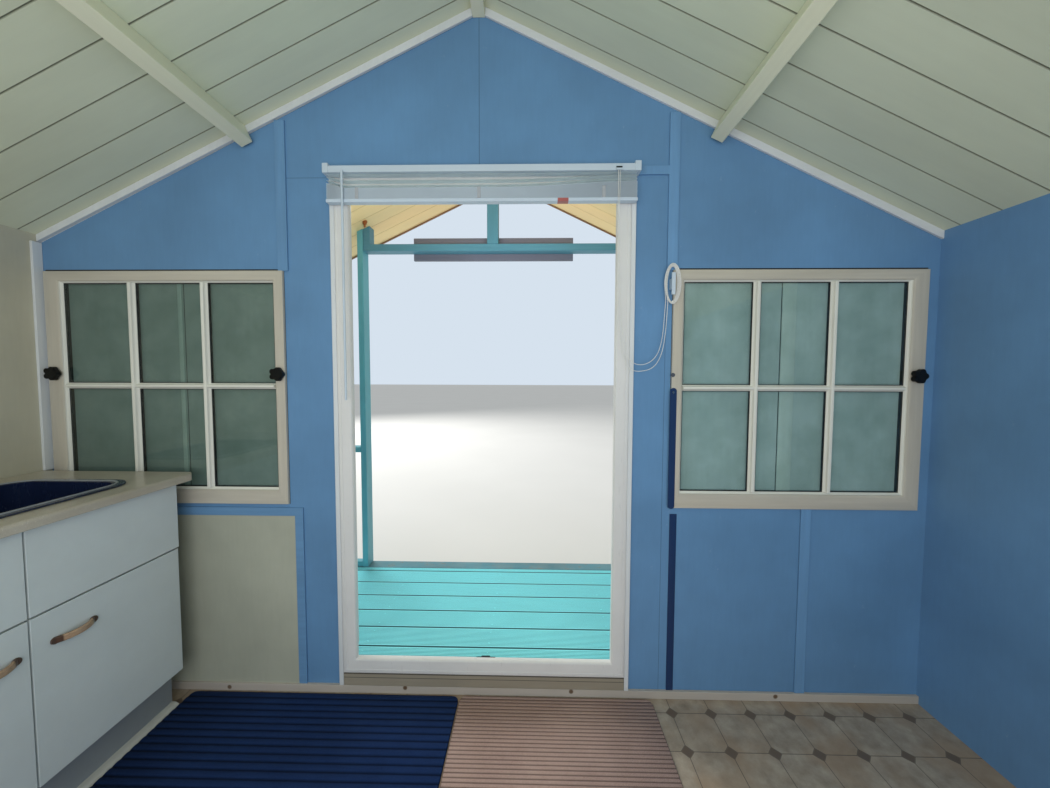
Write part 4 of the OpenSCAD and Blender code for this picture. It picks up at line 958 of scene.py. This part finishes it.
def reededBoard(y0, y1, z0, z1, shift):
    # top line: narrow square grooves a fixed pitch apart, between plain rounded edges
    pitch, half, low = deck["reed"], deck["reedWide"] / 2, z1 - deck["reedDeep"]
    count = int((y1 - y0 - 2 * deck["edge"]) / pitch)
    centres = (y0 + y1 - count * pitch) / 2 + pitch / 2 + np.arange(count) * pitch
    ys = (centres[:, None] + [-half, -half * 0.6, half * 0.6, half]).ravel()
    soft = deck["soft"]
    ys = np.concatenate([[y0, y0, y0 + soft], ys, [y1 - soft, y1, y1]])
    zs = np.concatenate([[z0, z1 - soft, z1], np.tile([z1, low, low, z1], count),
                         [z1, z1 - soft, z0]])
    rings = np.stack([points(x, ys, zs) for x in (-halfOut, halfOut)])
    return carry(rings, np.array([-halfOut, halfOut]) + shift,
                 np.concatenate([ys, ys[:1]]) + shift * 0.37)


makePiece("deckBoards", [reededBoard(a, b, deckLow, deckZ, 3.1 * k)
                         for k, (a, b) in enumerate(deckSpans)],
          "deckPaint", 0, ["veranda_deck"])
for node, finish, width in (("deck_edge_board", "edgePaint", 0.003), ("bearers", "treated", 0.003),
                            ("floor_joists", "treated", 0.002), ("tie_beam", "turquoiseInShade", 0.003),
                            ("king_post", "turquoiseInShade", 0.003), ("railings", "turquoise", 0.005),
                            ("veranda_posts", "turquoise", 0.003)):
    softened(node, finish, width)

joistX = places("floor_joists", 0)
makeNails("deckNails", [(x, a + share * (b - a), deckZ) for x in (joistX[::2] + joistX[1::2]) / 2
                        for a, b in deckSpans if b - a > deck["nailed"] for share in (0.2, 0.8)],
          (0, 0, 1), deck["nail"], "deckPaint")
print("veranda done")


def makeMat(name, x0, x1):
    # height over the floor = thickness - depth * cos^6 of the rib's place; ends follow a circle
    own, corner, edge = mats[name], matShape["corner"], matShape["edge"]
    y = np.arange(matY0, matY1 + 1e-4, own["pitch"] / 8)
    top = matZ1 - own["deep"] * np.cos(np.pi * (y - matY0) / own["pitch"]) ** 6
    near = np.minimum(np.minimum(y - matY0, matY1 - y), corner)
    inset = corner - np.sqrt(corner ** 2 - (corner - near) ** 2)
    xs = points(x0 + inset, x0 + inset, x0 + inset + edge, x1 - inset - edge, x1 - inset,
                x1 - inset)
    zs = points(matZ0, top - edge, top, top, top - edge, matZ0)
    part = carry(points(xs, y[:, None], zs), y, np.arange(7) * 0.2)
    makePiece(name + "Mat", [part], name + "Mat", 50, ["floor_mats"])


matEdges = places("floor_mats", 0)
brownEnd, navyStart = (matEdges[np.abs(matEdges - x).argmin()] for x in matShape["gap"])
makeMat("navy", navyStart, matEdges[-1])
makeMat("brown", matEdges[0], brownEnd)

# CAD nodes that keep their own shape
for node, finish in (("floor_covering", "stoneVinyl"), ("floor_boards", "floorPine"),
                     ("front_wall_left", "blueWall"), ("front_wall_right", "blueWall"),
                     ("front_gable", "blueWall"), ("side_wall_left", "blueSide"),
                     ("side_wall_right", "creamSide"), ("rear_wall", "blueSide"),
                     ("lower_panel", "bareBoard"), ("glass_panes", "windowGlass"),
                     ("pivot_hinges", "steel")):
    materials = frame["nodes"][node].data.materials
    materials.clear()
    materials.append(finishes[finish])
softened("wall_battens", "blueTimber", 0.0015)
softened("inside_trims", "trimWhite", 0.002)
softened("wall_foot_strips", "footPine", 0.0015)
print("room lining done")

# Door frame and leaves: white moulded plastic profiles with mitred, welded corners
door = {"face": 0.055, "low": 0.06, "step": 0.033, "stop": 0.024, "leafFace": 0.078,
        "pin": (0.569, -0.012, 0.009), "flag": (-0.009, 0.033, -0.0237, -0.0187),
        "knuckleTall": 0.09, "knuckles": (0.5022, 1.238, 1.9738),
        "keep": (((-0.056, 0.026), (0.003, 0.019), 0.0025),
                 ((-0.034, 0.004), (0.005, 0.017), 0.009)),
        "inside": ((1, 0.013), (0.985, 0.008), (0.94, 0.003), (0.88, 0.0006), (0.84, 0), (0.3, 0),
                   (0.285, 0.0013), (0.265, 0.0013), (0.25, 0), (0.05, 0), (0.012, 0.0012),
                   (0, 0.004)),
        "seal": ((0.44, 0), (0.44, 0.0035), (0.47, 0.0045), (0.53, 0.004), (0.55, 0.0015),
                 (0.55, 0)),
        "leaf": ((0, 0.004), (0.015, 0.0012), (0.05, 0), (0.7, 0), (0.715, 0.0014),
                 (0.735, 0.0014), (0.75, 0.0005), (0.82, 0.0012), (0.93, 0.006), (0.985, 0.013),
                 (1, 0.018)),
        "leafSeal": ((0.985, 0.0075), (1.02, 0.007), (1.035, 0.0045))}


def knuckle(x, y, z0, tall, radius):
    # a hinge knuckle: three barrels with dished joints and domed caps
    line = [[0, radius * 0.5], [0.002, radius * 0.86], [0.004, radius]]
    for joint in (tall / 3, tall / 3 * 2):
        line += [[joint - 0.0012, radius], [joint - 0.0004, radius - 0.0012],
                 [joint + 0.0004, radius - 0.0012], [joint + 0.0012, radius]]
    line += [[tall - 0.004, radius], [tall - 0.002, radius * 0.86], [tall, radius * 0.5]]
    return turned(line, (x, y, z0), (0, 0, 1), 20)


def makeDoorFrame():
    # profile points are (share of the face, y): rebate outside, stop, rounded bead inside
    (_, _, z0), (_, y1, z1) = box("door_frame")
    stop, inner = y1 - door["stop"], 1 - door["step"] / door["face"]
    profile = np.array([(0, outY), (inner - 0.03, outY), (inner, outY + 0.002), (inner, stop),
                        (0.97, stop), (1, stop + 0.002)] + fromFace(y1, door["inside"]))
    widths = (door["face"], door["face"], door["low"], door["face"])
    parts = [mitred(door0, door1, z0, z1, profile, widths)]
    aside, forward, radius = door["pin"]
    for side in (-1, 1):
        x = (door0 + door1) / 2 + side * aside
        for z in door["knuckles"]:
            parts.append(knuckle(x, outY + forward, z, door["knuckleTall"], radius))
            for plate in (roundedRect(-radius, radius, forward, 0, 0.001, 2),
                          roundedRect(*door["flag"], 0.0015, 2)):
                parts.append(bar((x, outY, z + 0.002), (x, outY, z + door["knuckleTall"] - 0.002),
                                 plate, (side, 0, 0), (0, 1, 0)))
    makePiece("doorFrame", parts, "frameWhite", 32, ["door_frame"])
    seal = np.array(fromFace(stop, door["seal"]))
    makePiece("doorSeal", [mitred(door0, door1, z0, z1, seal, widths)], "darkGasketAndShade")
    bed = z0 + door["low"] * inner
    makePiece("boltKeep", [post(x, (outY + a, outY + b), (bed - 0.001, bed + tall), 0.004, 3)
                           for x, (a, b), tall in door["keep"]], "keepSteel", 30)


def makeLeaf(side, node):
    # the same profile on both faces, stepping down to the glass through a sloped bead
    (x0, y0, z0), (x1, y1, z1) = box(node)
    widths, middle = (door["leafFace"],) * 4, (y0 + y1) / 2
    profile = np.array([(share, y0 + deep) for share, deep in door["leaf"]]
                       + fromFace(y1, door["leaf"][::-1]))
    makePiece(node + ".profile", [mitred(x0, x1, z0, z1, profile, widths, side * 2.7)],
              "frameWhite", 32, [node])
    seal = np.array(fromFace(middle, door["leafSeal"])
                    + [(share, middle + deep) for share, deep in door["leafSeal"][::-1]])
    makePiece(node + ".seal", [mitred(x0, x1, z0, z1, seal, widths)], "darkGasketAndShade")


lever = {"z": 1.15, "plate": (0.028, 0.21, 0.007), "reach": 0.042, "length": 0.105,
         "thick": 0.009, "bend": 0.014, "above": 0.035,
         "rose": ((0, 0.0085), (0.002, 0.0085), (0.003, 0.0075), (0.003, 0.0001))}


def makeLever(node):
    # a lever handle on the face that looked into the room when the leaf was shut
    (_, y, _), (right, _, _) = box(node)
    x, z = right - door["leafFace"] / 2, lever["z"]
    wide, tall, deep = lever["plate"]
    plate = roundedRect(-wide / 2, wide / 2, -tall / 2, tall / 2, wide / 2.02, 8)
    lifts = [0.0002, deep - 0.003, deep - 0.0006, deep]
    rings = np.stack([points(x + plate[:, 0] * a, y - lift, z + plate[:, 1] * b)
                      for a, b, lift in zip((1, 1, 0.9, 0.72), (1, 1, 0.985, 0.95), lifts)])
    parts = [carry(rings, np.array(lifts), around(plate))]
    t = np.linspace(0, np.pi / 2, 7)
    bend, out, rise = lever["bend"], y - lever["reach"], z + lever["above"]
    path = np.concatenate([
        [[x, y - deep + 0.001, rise]],
        points(x - bend * (1 - np.cos(t)), out + bend * (1 - np.sin(t)), rise),
        [[x - lever["length"] * 0.6, out, rise - 0.001],
         [x - lever["length"], out + 0.002, rise - 0.004]]])
    ahead = np.gradient(path, axis=0)
    ahead /= np.linalg.norm(ahead, axis=1)[:, None]
    up = np.array([0, 0, 1.0])
    section = roundedRect(-1, 1, -1, 1, 0.8, 4)
    taper = np.linspace(1.0, 0.75, len(path))[:, None, None]
    rings = path[:, None] + taper * lever["thick"] * (
        0.6 * section[None, :, :1] * np.cross(ahead, up)[:, None] + section[None, :, 1:] * up)
    parts.append(carry(rings, np.arange(len(path)) * 0.02, around(section) * 0.009))
    parts.append(turned(lever["rose"], (x, y - deep + 0.0005, z - 0.045), (0, -1, 0), 24))
    makePiece("leverHandle", parts, "frameWhite")


makeDoorFrame()
for side, node in zip((-1, 1), leafNodes):
    makeLeaf(side, node)
makeLever(leafNodes[1])
softened("door_sill", "sillBoard", 0.003)
print("door done")

# Windows: moulded cream frames, bars, knobs, and board shutters outside
window = {"doorStile": 0.046, "wallStile": 0.067, "top": 0.045, "bottom": 0.067, "bar": 0.03,
          "level": 0.023, "barDeep": 0.016, "panes": 3,
          "inside": ((1, 0.017), (0.985, 0.0135), (0.94, 0.0105), (0.885, 0.0085), (0.87, 0.005),
                     (0.82, 0.0022), (0.74, 0.0004), (0.66, 0), (0.05, 0), (0.012, 0.001),
                     (0, 0.004)),
          "bead": ((0.86, 0.009), (0.872, 0.0046), (0.888, 0.008), (0.942, 0.0099),
                   (0.988, 0.0128), (1.006, 0.0158), (0.95, 0.0158)),
          "line": (0.0015, 0.0015, 0.0015, 0.0075), "behind": 0.0045, "seal": 0.0024,
          "clear": 0.002, "skin": 0.0004}


def barProfile(width, deep):
    # flat crown, hollow shoulder, then a thin straight edge against the glass
    half = width / 2
    side = [(half, 0.0005), (half, 0.003), (half * 0.93, 0.0042), (half * 0.66, 0.0062),
            (half * 0.5, 0.0098), (half * 0.45, deep - 0.0022), (half * 0.4, deep - 0.0006),
            (half * 0.3, deep)]
    return np.array(side + [(-a, b) for a, b in reversed(side)])


def windowPlan(node):
    # widths of the four members, the clear opening, and the spans of the panes each way
    (x0, _, z0), (x1, _, z1) = box(node)
    left, right = window["wallStile"], window["doorStile"]
    if x0 > 0:
        left, right = right, left
    clear = (x0 + left, x1 - right, z0 + window["bottom"], z1 - window["top"])
    pane = (clear[1] - clear[0] - (window["panes"] - 1) * window["bar"]) / window["panes"]
    starts = clear[0] + np.arange(window["panes"]) * (pane + window["bar"])
    middle = (clear[2] + clear[3]) / 2
    rows = ((clear[2], middle - window["level"] / 2), (middle + window["level"] / 2, clear[3]))
    return {"widths": (left, right, window["bottom"], window["top"]), "clear": clear,
            "columns": [(a, a + pane) for a in starts], "rows": rows}


def makeWindow(side, node):
    (x0, y0, z0), (x1, y1, z1) = box(node)
    plan = windowPlan(node)
    profile = np.array([(0, y0), (1, y0)] + fromFace(y1, window["inside"]))
    makePiece(node + ".profile", [mitred(x0, x1, z0, z1, profile, plan["widths"], side * 1.9)],
              "creamFrame", 32, [node])
    left, right, low, high = plan["clear"]
    base, middle = y1 - window["barDeep"], (low + high) / 2
    parts = []
    for k, ((_, a), (b, _)) in enumerate(zip(plan["columns"], plan["columns"][1:]), 1):
        parts.append(bar(((a + b) / 2, base, low), ((a + b) / 2, base, high),
                         barProfile(window["bar"], window["barDeep"]), (1, 0, 0), (0, 1, 0), k))
    parts.append(bar((left, base, middle), (right, base, middle),
                     barProfile(window["level"], window["barDeep"] - 0.0003), (0, 0, 1),
                     (0, 1, 0), 4.4))
    # the bars take the bead's lighter paint: painted highlight
    makePiece(node + ".bars", parts, "bead", 32)


def makeBeads(node):
    # the pale bead that holds the glass, lighter as a painted highlight; dark seals round each
    # pane, partly seal and partly painted shade; dark reveals and back bars behind the glass,
    # painted shade;
    # and a dark line where the frame meets the wall, a painted shadow
    (x0, y0, z0), (x1, y1, z1) = box(node)
    plan = windowPlan(node)
    widths, (left, right, low, high) = plan["widths"], plan["clear"]
    bead = np.array(fromFace(y1, window["bead"]))
    makePiece(node + ".bead", [mitred(x0, x1, z0, z1, bead, widths, x0)], "bead",
              32)
    skin, gap = window["skin"], window["clear"]
    base = y1 - window["barDeep"]
    back = base - window["behind"]
    # painted shade: dark reveals, then dark back bars, behind the glass
    revealShade = np.array([(0.97, y0 + skin), (1.006, y0 + skin), (1.006, back), (0.97, back)])
    parts = [mitred(x0, x1, z0, z1, revealShade, widths)]
    # dark seals round each pane: partly seal, partly painted shade where the glass meets bead and
    # bars
    seal = np.array([(-0.3, base + 0.0002), (-0.3, base + 0.0016), (0.6, base + 0.0016),
                     (1, base + 0.0008), (1, base + 0.0002)])
    parts += [mitred(*column, *row, seal, (window["seal"],) * 4) for column in plan["columns"]
              for row in plan["rows"]]
    for (_, a), (b, _) in zip(plan["columns"], plan["columns"][1:]):
        parts.append(post((a + gap, b - gap), (y0 + gap, back), (low, high), 0.0005, 1))
    (_, a), (b, _) = plan["rows"]
    parts.append(beam((left, right), (y0 + gap, back - 0.0002), (a + gap, b - gap), 0.0005, 1))
    # a dark line round the frame where it meets the wall: a painted shadow, widest along the top
    edge = np.array([(0, inY - skin), (0, inY + skin), (1.2, inY + skin), (1.2, inY - skin)])
    a, b, c, d = window["line"]
    parts.append(mitred(x0 - a, x1 + b, z0 - c, z1 + d, edge, window["line"]))
    makePiece(node + ".sealsAndShade", parts, "darkGasketAndShade", 30)


# The lining, its joint and the strip over the joint for the window of each frame node; the -X
# window's lining and strip are paler copies, a painted reflection of the room on its glass
shutter = {"frame": 0.06, "raised": 0.006, "joint": 0.0015, "stripThick": 0.004, "edge": 0.0005,
           "gap": 0.0003, "sunk": 0.001, "liningThick": 0.0012,
           "inside": (("shutterInsideReflection", "coverStripReflection", -1.188, (-1.2455, -1.1895)),
                      ("shutterInside", "coverStrip", 1.206, (1.2135, 1.231)))}


def makeShutters():
    # a flat board a leaf, framed with battens outside, sheets inside, and dark fills between:
    # painted shade in the gaps, and in each lining joint partly the joint, partly a painted shadow
    # of the cover strip
    (_, y0, z0), (_, y1, z1) = box("window_shutters")
    skin, wide, edge, half = (y0 + shutter["raised"], shutter["frame"], shutter["edge"],
                              shutter["joint"])
    batten, gap = (y0, skin + shutter["sunk"]), shutter["gap"]
    leaves = places("window_shutters", 0).reshape(4, 2)
    parts = []
    for x0, x1 in leaves:
        parts.append(post((x0, x1), (skin, y1), (z0, z1), 0.0015, 2, x0))
        parts += [post((a + gap, a + wide - gap), batten, (z0, z1), 0.0018, 2, a)
                  for a in (x0, x1 - wide)]
        parts += [beam((x0 + wide, x1 - wide), batten, (z, z + wide), 0.0018, 2, z)
                  for z in (z0, (z0 + z1 - wide) / 2, z1 - wide)]
    makePiece("shutterBoards", parts, "turquoise", 30, ["window_shutters"])
    # dark fills in the gaps between leaves: painted shade
    gapShades = [post((a - 0.0004, b + 0.0004), (skin + 0.001, y1 - 0.001), (z0, z1), 0.0004, 1)
             for a, b in zip(leaves[::2, 1], leaves[1::2, 0])]
    for node, (tone, cover, joint, strip) in zip(frameNodes, shutter["inside"]):
        left, right, low, high = windowPlan(node)["clear"]
        z = (low + edge, high - edge)
        lining = [post(x, (y1 - edge, y1 + shutter["liningThick"]), z, 0.0004, 1, x[1])
                  for x in ((left + edge, joint - half), (joint + half, right - edge))]
        makePiece(node + ".lining", lining, tone, 30)
        # dark fill in the lining joint: partly the joint, partly a painted shadow beside the cover
        # strip
        gapShades.append(post((joint - half, joint + half), (y1 - edge, y1 + 0.0002), z, 0.0001, 1))
        makePiece(node + ".strip", [post(strip, (y1, y1 + shutter["stripThick"]), z, 0.0012, 2,
                                         strip[0])], cover, 30)
    makePiece("shutterGapShade", gapShades, "darkGasketAndShade", 30)


latch = {"strip": (-0.7745, -0.749, 0.79, 1.271), "hole": (-0.759, 1.322),
         "line": (-0.789, -0.7615, 0.765),
         "screwLine": ((0, 0.0001), (0, 0.0045), (0.001, 0.004), (0.0014, 0.0001)),
         "holeLine": ((0, 0.0001), (0, 0.0085), (0.0012, 0.008), (0.0014, 0.0055),
                      (0.0003, 0.005), (0.0003, 0.0001))}


def makeLatchStrip():
    # a thin round-topped strip on the stile, its screw, a bolt hole, and the strip below the sill
    y = box("window_frame_left")[1, 1]
    x0, x1, z0, z1 = latch["strip"]
    face = roundedRect(x0, x1, floorZ + z0, floorZ + z1, (x1 - x0) / 2.1, 6)
    rings = np.stack([points(face[:, 0], y + lift, face[:, 1]) for lift in (-0.0005, 0.0025)])
    a, b, top = latch["line"]
    makePiece("latchStrip", [carry(rings, np.array([0, 0.003]), around(face)),
                             post((a, b), (inY, inY + 0.004),
                                  (box("wall_foot_strips")[1, 2], floorZ + top), 0.001)],
              "latch", 30)
    makePiece("latchScrew", [turned(latch["screwLine"], ((x0 + x1) / 2, y + 0.0024,
                                                         floorZ + z1 - 0.018), (0, 1, 0), 20)],
              "steel", 30)
    # a ringed disc on the stile for the bolt hole, its dark colour painted shade inside the hole
    holeX, holeZ = latch["hole"]
    makePiece("boltHoleShade", [turned(latch["holeLine"], (holeX, y - 0.0002, floorZ + holeZ),
                                  (0, 1, 0), 24)], "hole", 30)


for side, node in zip((-1, 1), frameNodes):
    makeWindow(side, node)
for node in frameNodes:
    makeBeads(node)
makeShutters()
makeLatchStrip()
softened("window_knobs", "knob", 0.0025, 3)
knobHub = ((0.0045, 0.001), (0.0045, 0.019), (0.007, 0.0238), (0.0175, 0.0242), (0.0198, 0.0215),
           (0.0206, 0.012), (0.0209, 0.001))
(_, knobY, knobLow), (_, _, knobHigh) = box("window_knobs")
knobX = np.sort([v.co.x for v in frame["nodes"]["window_knobs"].data.vertices])
knobMiddles = [(group.min() + group.max()) / 2
               for group in np.split(knobX, np.where(np.diff(knobX) > 0.1)[0] + 1)]
makePiece("knobHubs", [turned(knobHub, (x, knobY, (knobLow + knobHigh) / 2), (0, 1, 0), 40)
                       for x in knobMiddles], "knob", 30)
print("windows done")

# Blind: drooping upper slats over the drawn-up stack, the stack coloured greyer as painted shade;
# heights are over the floor
blind = {"stack": 22, "base": 1.9888, "middle": 0.0019, "end": 0.0028, "thick": 0.0004,
         "stackThick": 0.0013, "crown": 0.0022, "tape": 0.013, "tapeTop": 2.031,
         "tapes": (0.463, -0.004, -0.475),
         "upper": ((2.038, 2.058), (2.057, 2.070), (2.079, 2.0815)),
         "slot": (-0.5296, 2.0945, 0.0115, 0.0028), "flat": 0.0008}
(slatX0, slatY0, _), (slatX1, slatY1, _) = box("blind_slats")


def slat(middle, end, count, thick):
    # height = end + (middle - end) * m(s / 0.42) * m((1 - s) / 0.06), s along the slat from its
    # -X end and m(t) = t * t * (3 - 2 t) up to 1; across it z + crown * (1 - (2 u)^2)
    u = np.linspace(-0.5, 0.5, 7)
    y = (slatY0 + slatY1) / 2 + u * (slatY1 - slatY0)
    rise = blind["crown"] * (1 - 4 * u * u)
    section = np.concatenate([np.stack([y, rise], -1), np.stack([y, rise - thick], -1)[::-1]])
    s = np.linspace(0, 1, count)
    begin, finish = np.clip(s / 0.42, 0, 1), np.clip((1 - s) / 0.06, 0, 1)
    share = begin ** 2 * (3 - 2 * begin) * finish ** 2 * (3 - 2 * finish)
    x = slatX0 + s * (slatX1 - slatX0)
    z = floorZ + end + (middle - end) * share
    return carry(points(x[:, None], section[:, 0], z[:, None] + section[:, 1]), x,
                 around(section))


def makeSlats():
    base, half, flat = blind["base"], blind["tape"] / 2, blind["flat"]
    y = slatY1 + flat
    makePiece("slatStackShaded", [slat(base + k * blind["middle"], base + k * blind["end"], 41,
                                 blind["stackThick"]) for k in range(blind["stack"])],
              "slatStackShaded", 40, ["blind_slats"])
    makePiece("upperSlats", [slat(middle, end, 61, blind["thick"])
                             for middle, end in blind["upper"]], "slatPaint")
    tape = roundedRect(-half, half, -flat / 2, flat / 2, 0.0003, 1)
    makePiece("ladderTapes", [bar((x, y, floorZ + base), (x, y, floorZ + blind["tapeTop"]), tape,
                                  (1, 0, 0), (0, 1, 0), x) for x in blind["tapes"]], "tape")
    # a black rounded plate on the headrail's face: painted shade in the cord lock's slot
    x, z, wide, tall = blind["slot"]
    face = box("blind_headrail")[1, 1]
    slot = roundedRect(-wide, wide, -tall, tall, 0.002, 3)
    makePiece("lockSlotShade", [bar((x, face - 0.0005, floorZ + z), (x, face + 0.0006, floorZ + z),
                               slot, (1, 0, 0), (0, 0, 1))], "knob", 30)


makeSlats()
for node, finish, width in (("blind_headrail", "blind", 0.0012),
                            ("blind_bottom_rail", "rail", 0.0012),
                            ("tilt_wand", "blind", 0.0012), ("cord_cleat", "blind", 0.0008)):
    softened(node, finish, width)
print("blind done")


board = {"planks": 2, "cut": 0.0022, "gap": 0.0006}


def makeNameBoard():
    # plain painted planks, both faces chamfered at each joint
    (x0, y0, z0), (x1, y1, z1) = box("name_board")
    step, cut, gap = (z1 - z0) / board["planks"], board["cut"], board["gap"]
    parts = []
    for k in range(board["planks"]):
        p, q = z0 + k * step + gap, z0 + (k + 1) * step - gap
        outline = np.array([(p + cut, y0), (q - cut, y0), (q, y0 + cut), (q, y1 - cut),
                            (q - cut, y1), (p + cut, y1), (p, y1 - cut), (p, y0 + cut)])
        rings = np.stack([points(x, outline[:, 1], outline[:, 0]) for x in (x0, x1)])
        parts.append(carry(rings, np.array([0, x1 - x0]) + 0.77 * k, around(outline) + 0.31 * k))
    makePiece("nameBoard", parts, "nameBoard", 0, ["name_board"])


makeNameBoard()

# Base unit with the sink
for node, finish, width in (("unit_carcass", "unitWhite", 0.001),
                            ("false_fronts", "unitWhite", 0.0009),
                            ("cupboard_door_far", "unitWhite", 0.0009),
                            ("cupboard_door_near", "unitWhite", 0.0009),
                            ("worktop", "worktopLaminate", 0.003), ("sink_bowl", "sinkNavy", 0.003),
                            ("far_door_handle", "handleTan", 0.0025),
                            ("near_door_handle", "handleTan", 0.0025)):
    softened(node, finish, width, 3)
unit = {"stile": (0.016, 0.02, 0.165), "plinth": 0.149, "strip": (0.0295, 0.014),
        "rim": 0.034, "rimRadius": 0.06, "grow": 0.012,
        "lip": ((-0.004, 0.0), (-0.003, 0.0026), (-0.0008, 0.0038), (0.0008, 0.0038),
                (0.003, 0.0026), (0.004, 0.0))}


def makeUnitTrims():
    # a stile behind the gap between the doors, a grey plinth face, and a pale strip at the floor
    (front, y0, _), (_, y1, _) = box("unit_carcass")
    middle = (box("cupboard_door_near")[0, 1] + box("cupboard_door_far")[1, 1]) / 2
    plinth = np.array([v.co for v in frame["nodes"]["unit_carcass"].data.vertices])
    x = plinth[plinth[:, 2] < floorZ + 0.001][:, 0].min()
    deep, half, foot = unit["stile"]
    makePiece("centreStile", [post((front, front + deep), (middle - half, middle + half),
                                   (floorZ + foot, box("false_fronts")[0, 2] + 0.001), 0.001)],
              "unitWhite", 30)
    makePiece("plinthFace", [post((x - 0.0015, x + 0.0005), (y0, y1),
                                  (floorZ, floorZ + unit["plinth"]), 0.0005)], "unitGrey",
              30)
    t = np.linspace(0, np.pi / 2, 7)
    section = np.concatenate([[[0, 0]], np.stack([unit["strip"][0] * np.sin(t),
                                                  unit["strip"][1] * np.cos(t)], -1)])
    makePiece("floorStrip", [bar((x - 0.001, y0, floorZ), (x - 0.001, y1, floorZ), section,
                                 (-1, 0, 0), (0, 0, 1))], "paleStrip")


def makeSinkLipHighlight():
    # the lip is coloured pale grey as a painted highlight on the navy rim
    # rings of the rim's outline, each grown outwards and raised by one point of the lip's line
    (x0, y0, _), (x1, y1, z1) = box("sink_bowl")
    rim = unit["rim"]
    rings = []
    for out, rise in unit["lip"]:
        d = unit["grow"] + out
        ring = roundedRect(x0 + rim - d, x1 - rim + d, y0 + rim - d, y1 - rim + d,
                           unit["rimRadius"] + d, 8)
        rings.append(points(ring[:, 0], ring[:, 1], z1 - 0.0003 + rise))
    part = carry(np.stack(rings), np.arange(len(rings) + 1) * 0.004, around(rings[0][:, :2]),
                 closed=True)
    makePiece("sinkLipHighlight", [part], "sinkLipHighlight")


makeUnitTrims()
makeSinkLipHighlight()
print("unit done")

# Soft light inside and out, hidden from the camera: place, target, size and watts
lamps = {"roomLamp": ((0, backY - 0.05, floorZ + 1.35), (0, inY, floorZ + 1.3), (3.2, 2.0), 40),
         "upLamp": ((0, 1.2, floorZ + 0.9), (0, 0.6, floorZ + 2.6), (1.2, 0.8), 6),
         "sideLamp": ((6, -9, 7), (0, 0, 1), (6, 6), 1100),
         "verandaLamp": ((0, outY - 0.1, floorZ + 1.9), (0, -1.75, floorZ + 2.3), (1.0, 0.3), 6)}
for name, (place, target, size, watts) in lamps.items():
    data = bpy.data.lights.new(name, "AREA")
    data.shape = "RECTANGLE"
    data.size, data.size_y = size
    data.energy = watts
    lamp = addObject(name, data)
    lamp.location = place
    lamp.rotation_euler = (Vector(target) - Vector(place)).to_track_quat("-Z", "Y").to_euler()
    lamp.visible_camera = lamp.visible_glossy = lamp.visible_transmission = False


def makeStage():
    # pale ground far beyond the hut; the sky is pale too, and the camera sees it a little bluer
    mesh = bpy.data.meshes.new("ground")
    reach = 60
    mesh.from_pydata([(-reach, -reach, 0), (reach, -reach, 0), (reach, reach, 0),
                      (-reach, reach, 0)], [], [(0, 1, 2, 3)])
    nodes = Surface("ground", 0.9)
    tone = nodes.mix(nodes.noise(nodes.coords(), 0.8), (214, 212, 206), (222, 220, 214))
    mesh.materials.append(nodes.finish(tone))
    addObject("ground", mesh)
    world = bpy.data.worlds.new("paleSky")
    world.use_nodes = True
    sky = Nodes(world.node_tree)
    light, seen = (sky.add("ShaderNodeBackground", {"Color": colour(*tint), "Strength": strength})
                   for tint, strength in (((232, 238, 244), 0.75), ((214, 226, 238), 1.0)))
    rays = sky.add("ShaderNodeLightPath").outputs
    straight = sky.math("MAXIMUM", rays["Is Camera Ray"], rays["Is Transmission Ray"])
    mixed = sky.add("ShaderNodeMixShader", {0: straight, 1: light.outputs[0], 2: seen.outputs[0]})
    out = [node for node in sky.tree.nodes if node.type == "OUTPUT_WORLD"][0]
    sky.link(mixed.outputs[0], out.inputs[0])
    bpy.context.scene.world = world


makeStage()
print("stage and lights done")
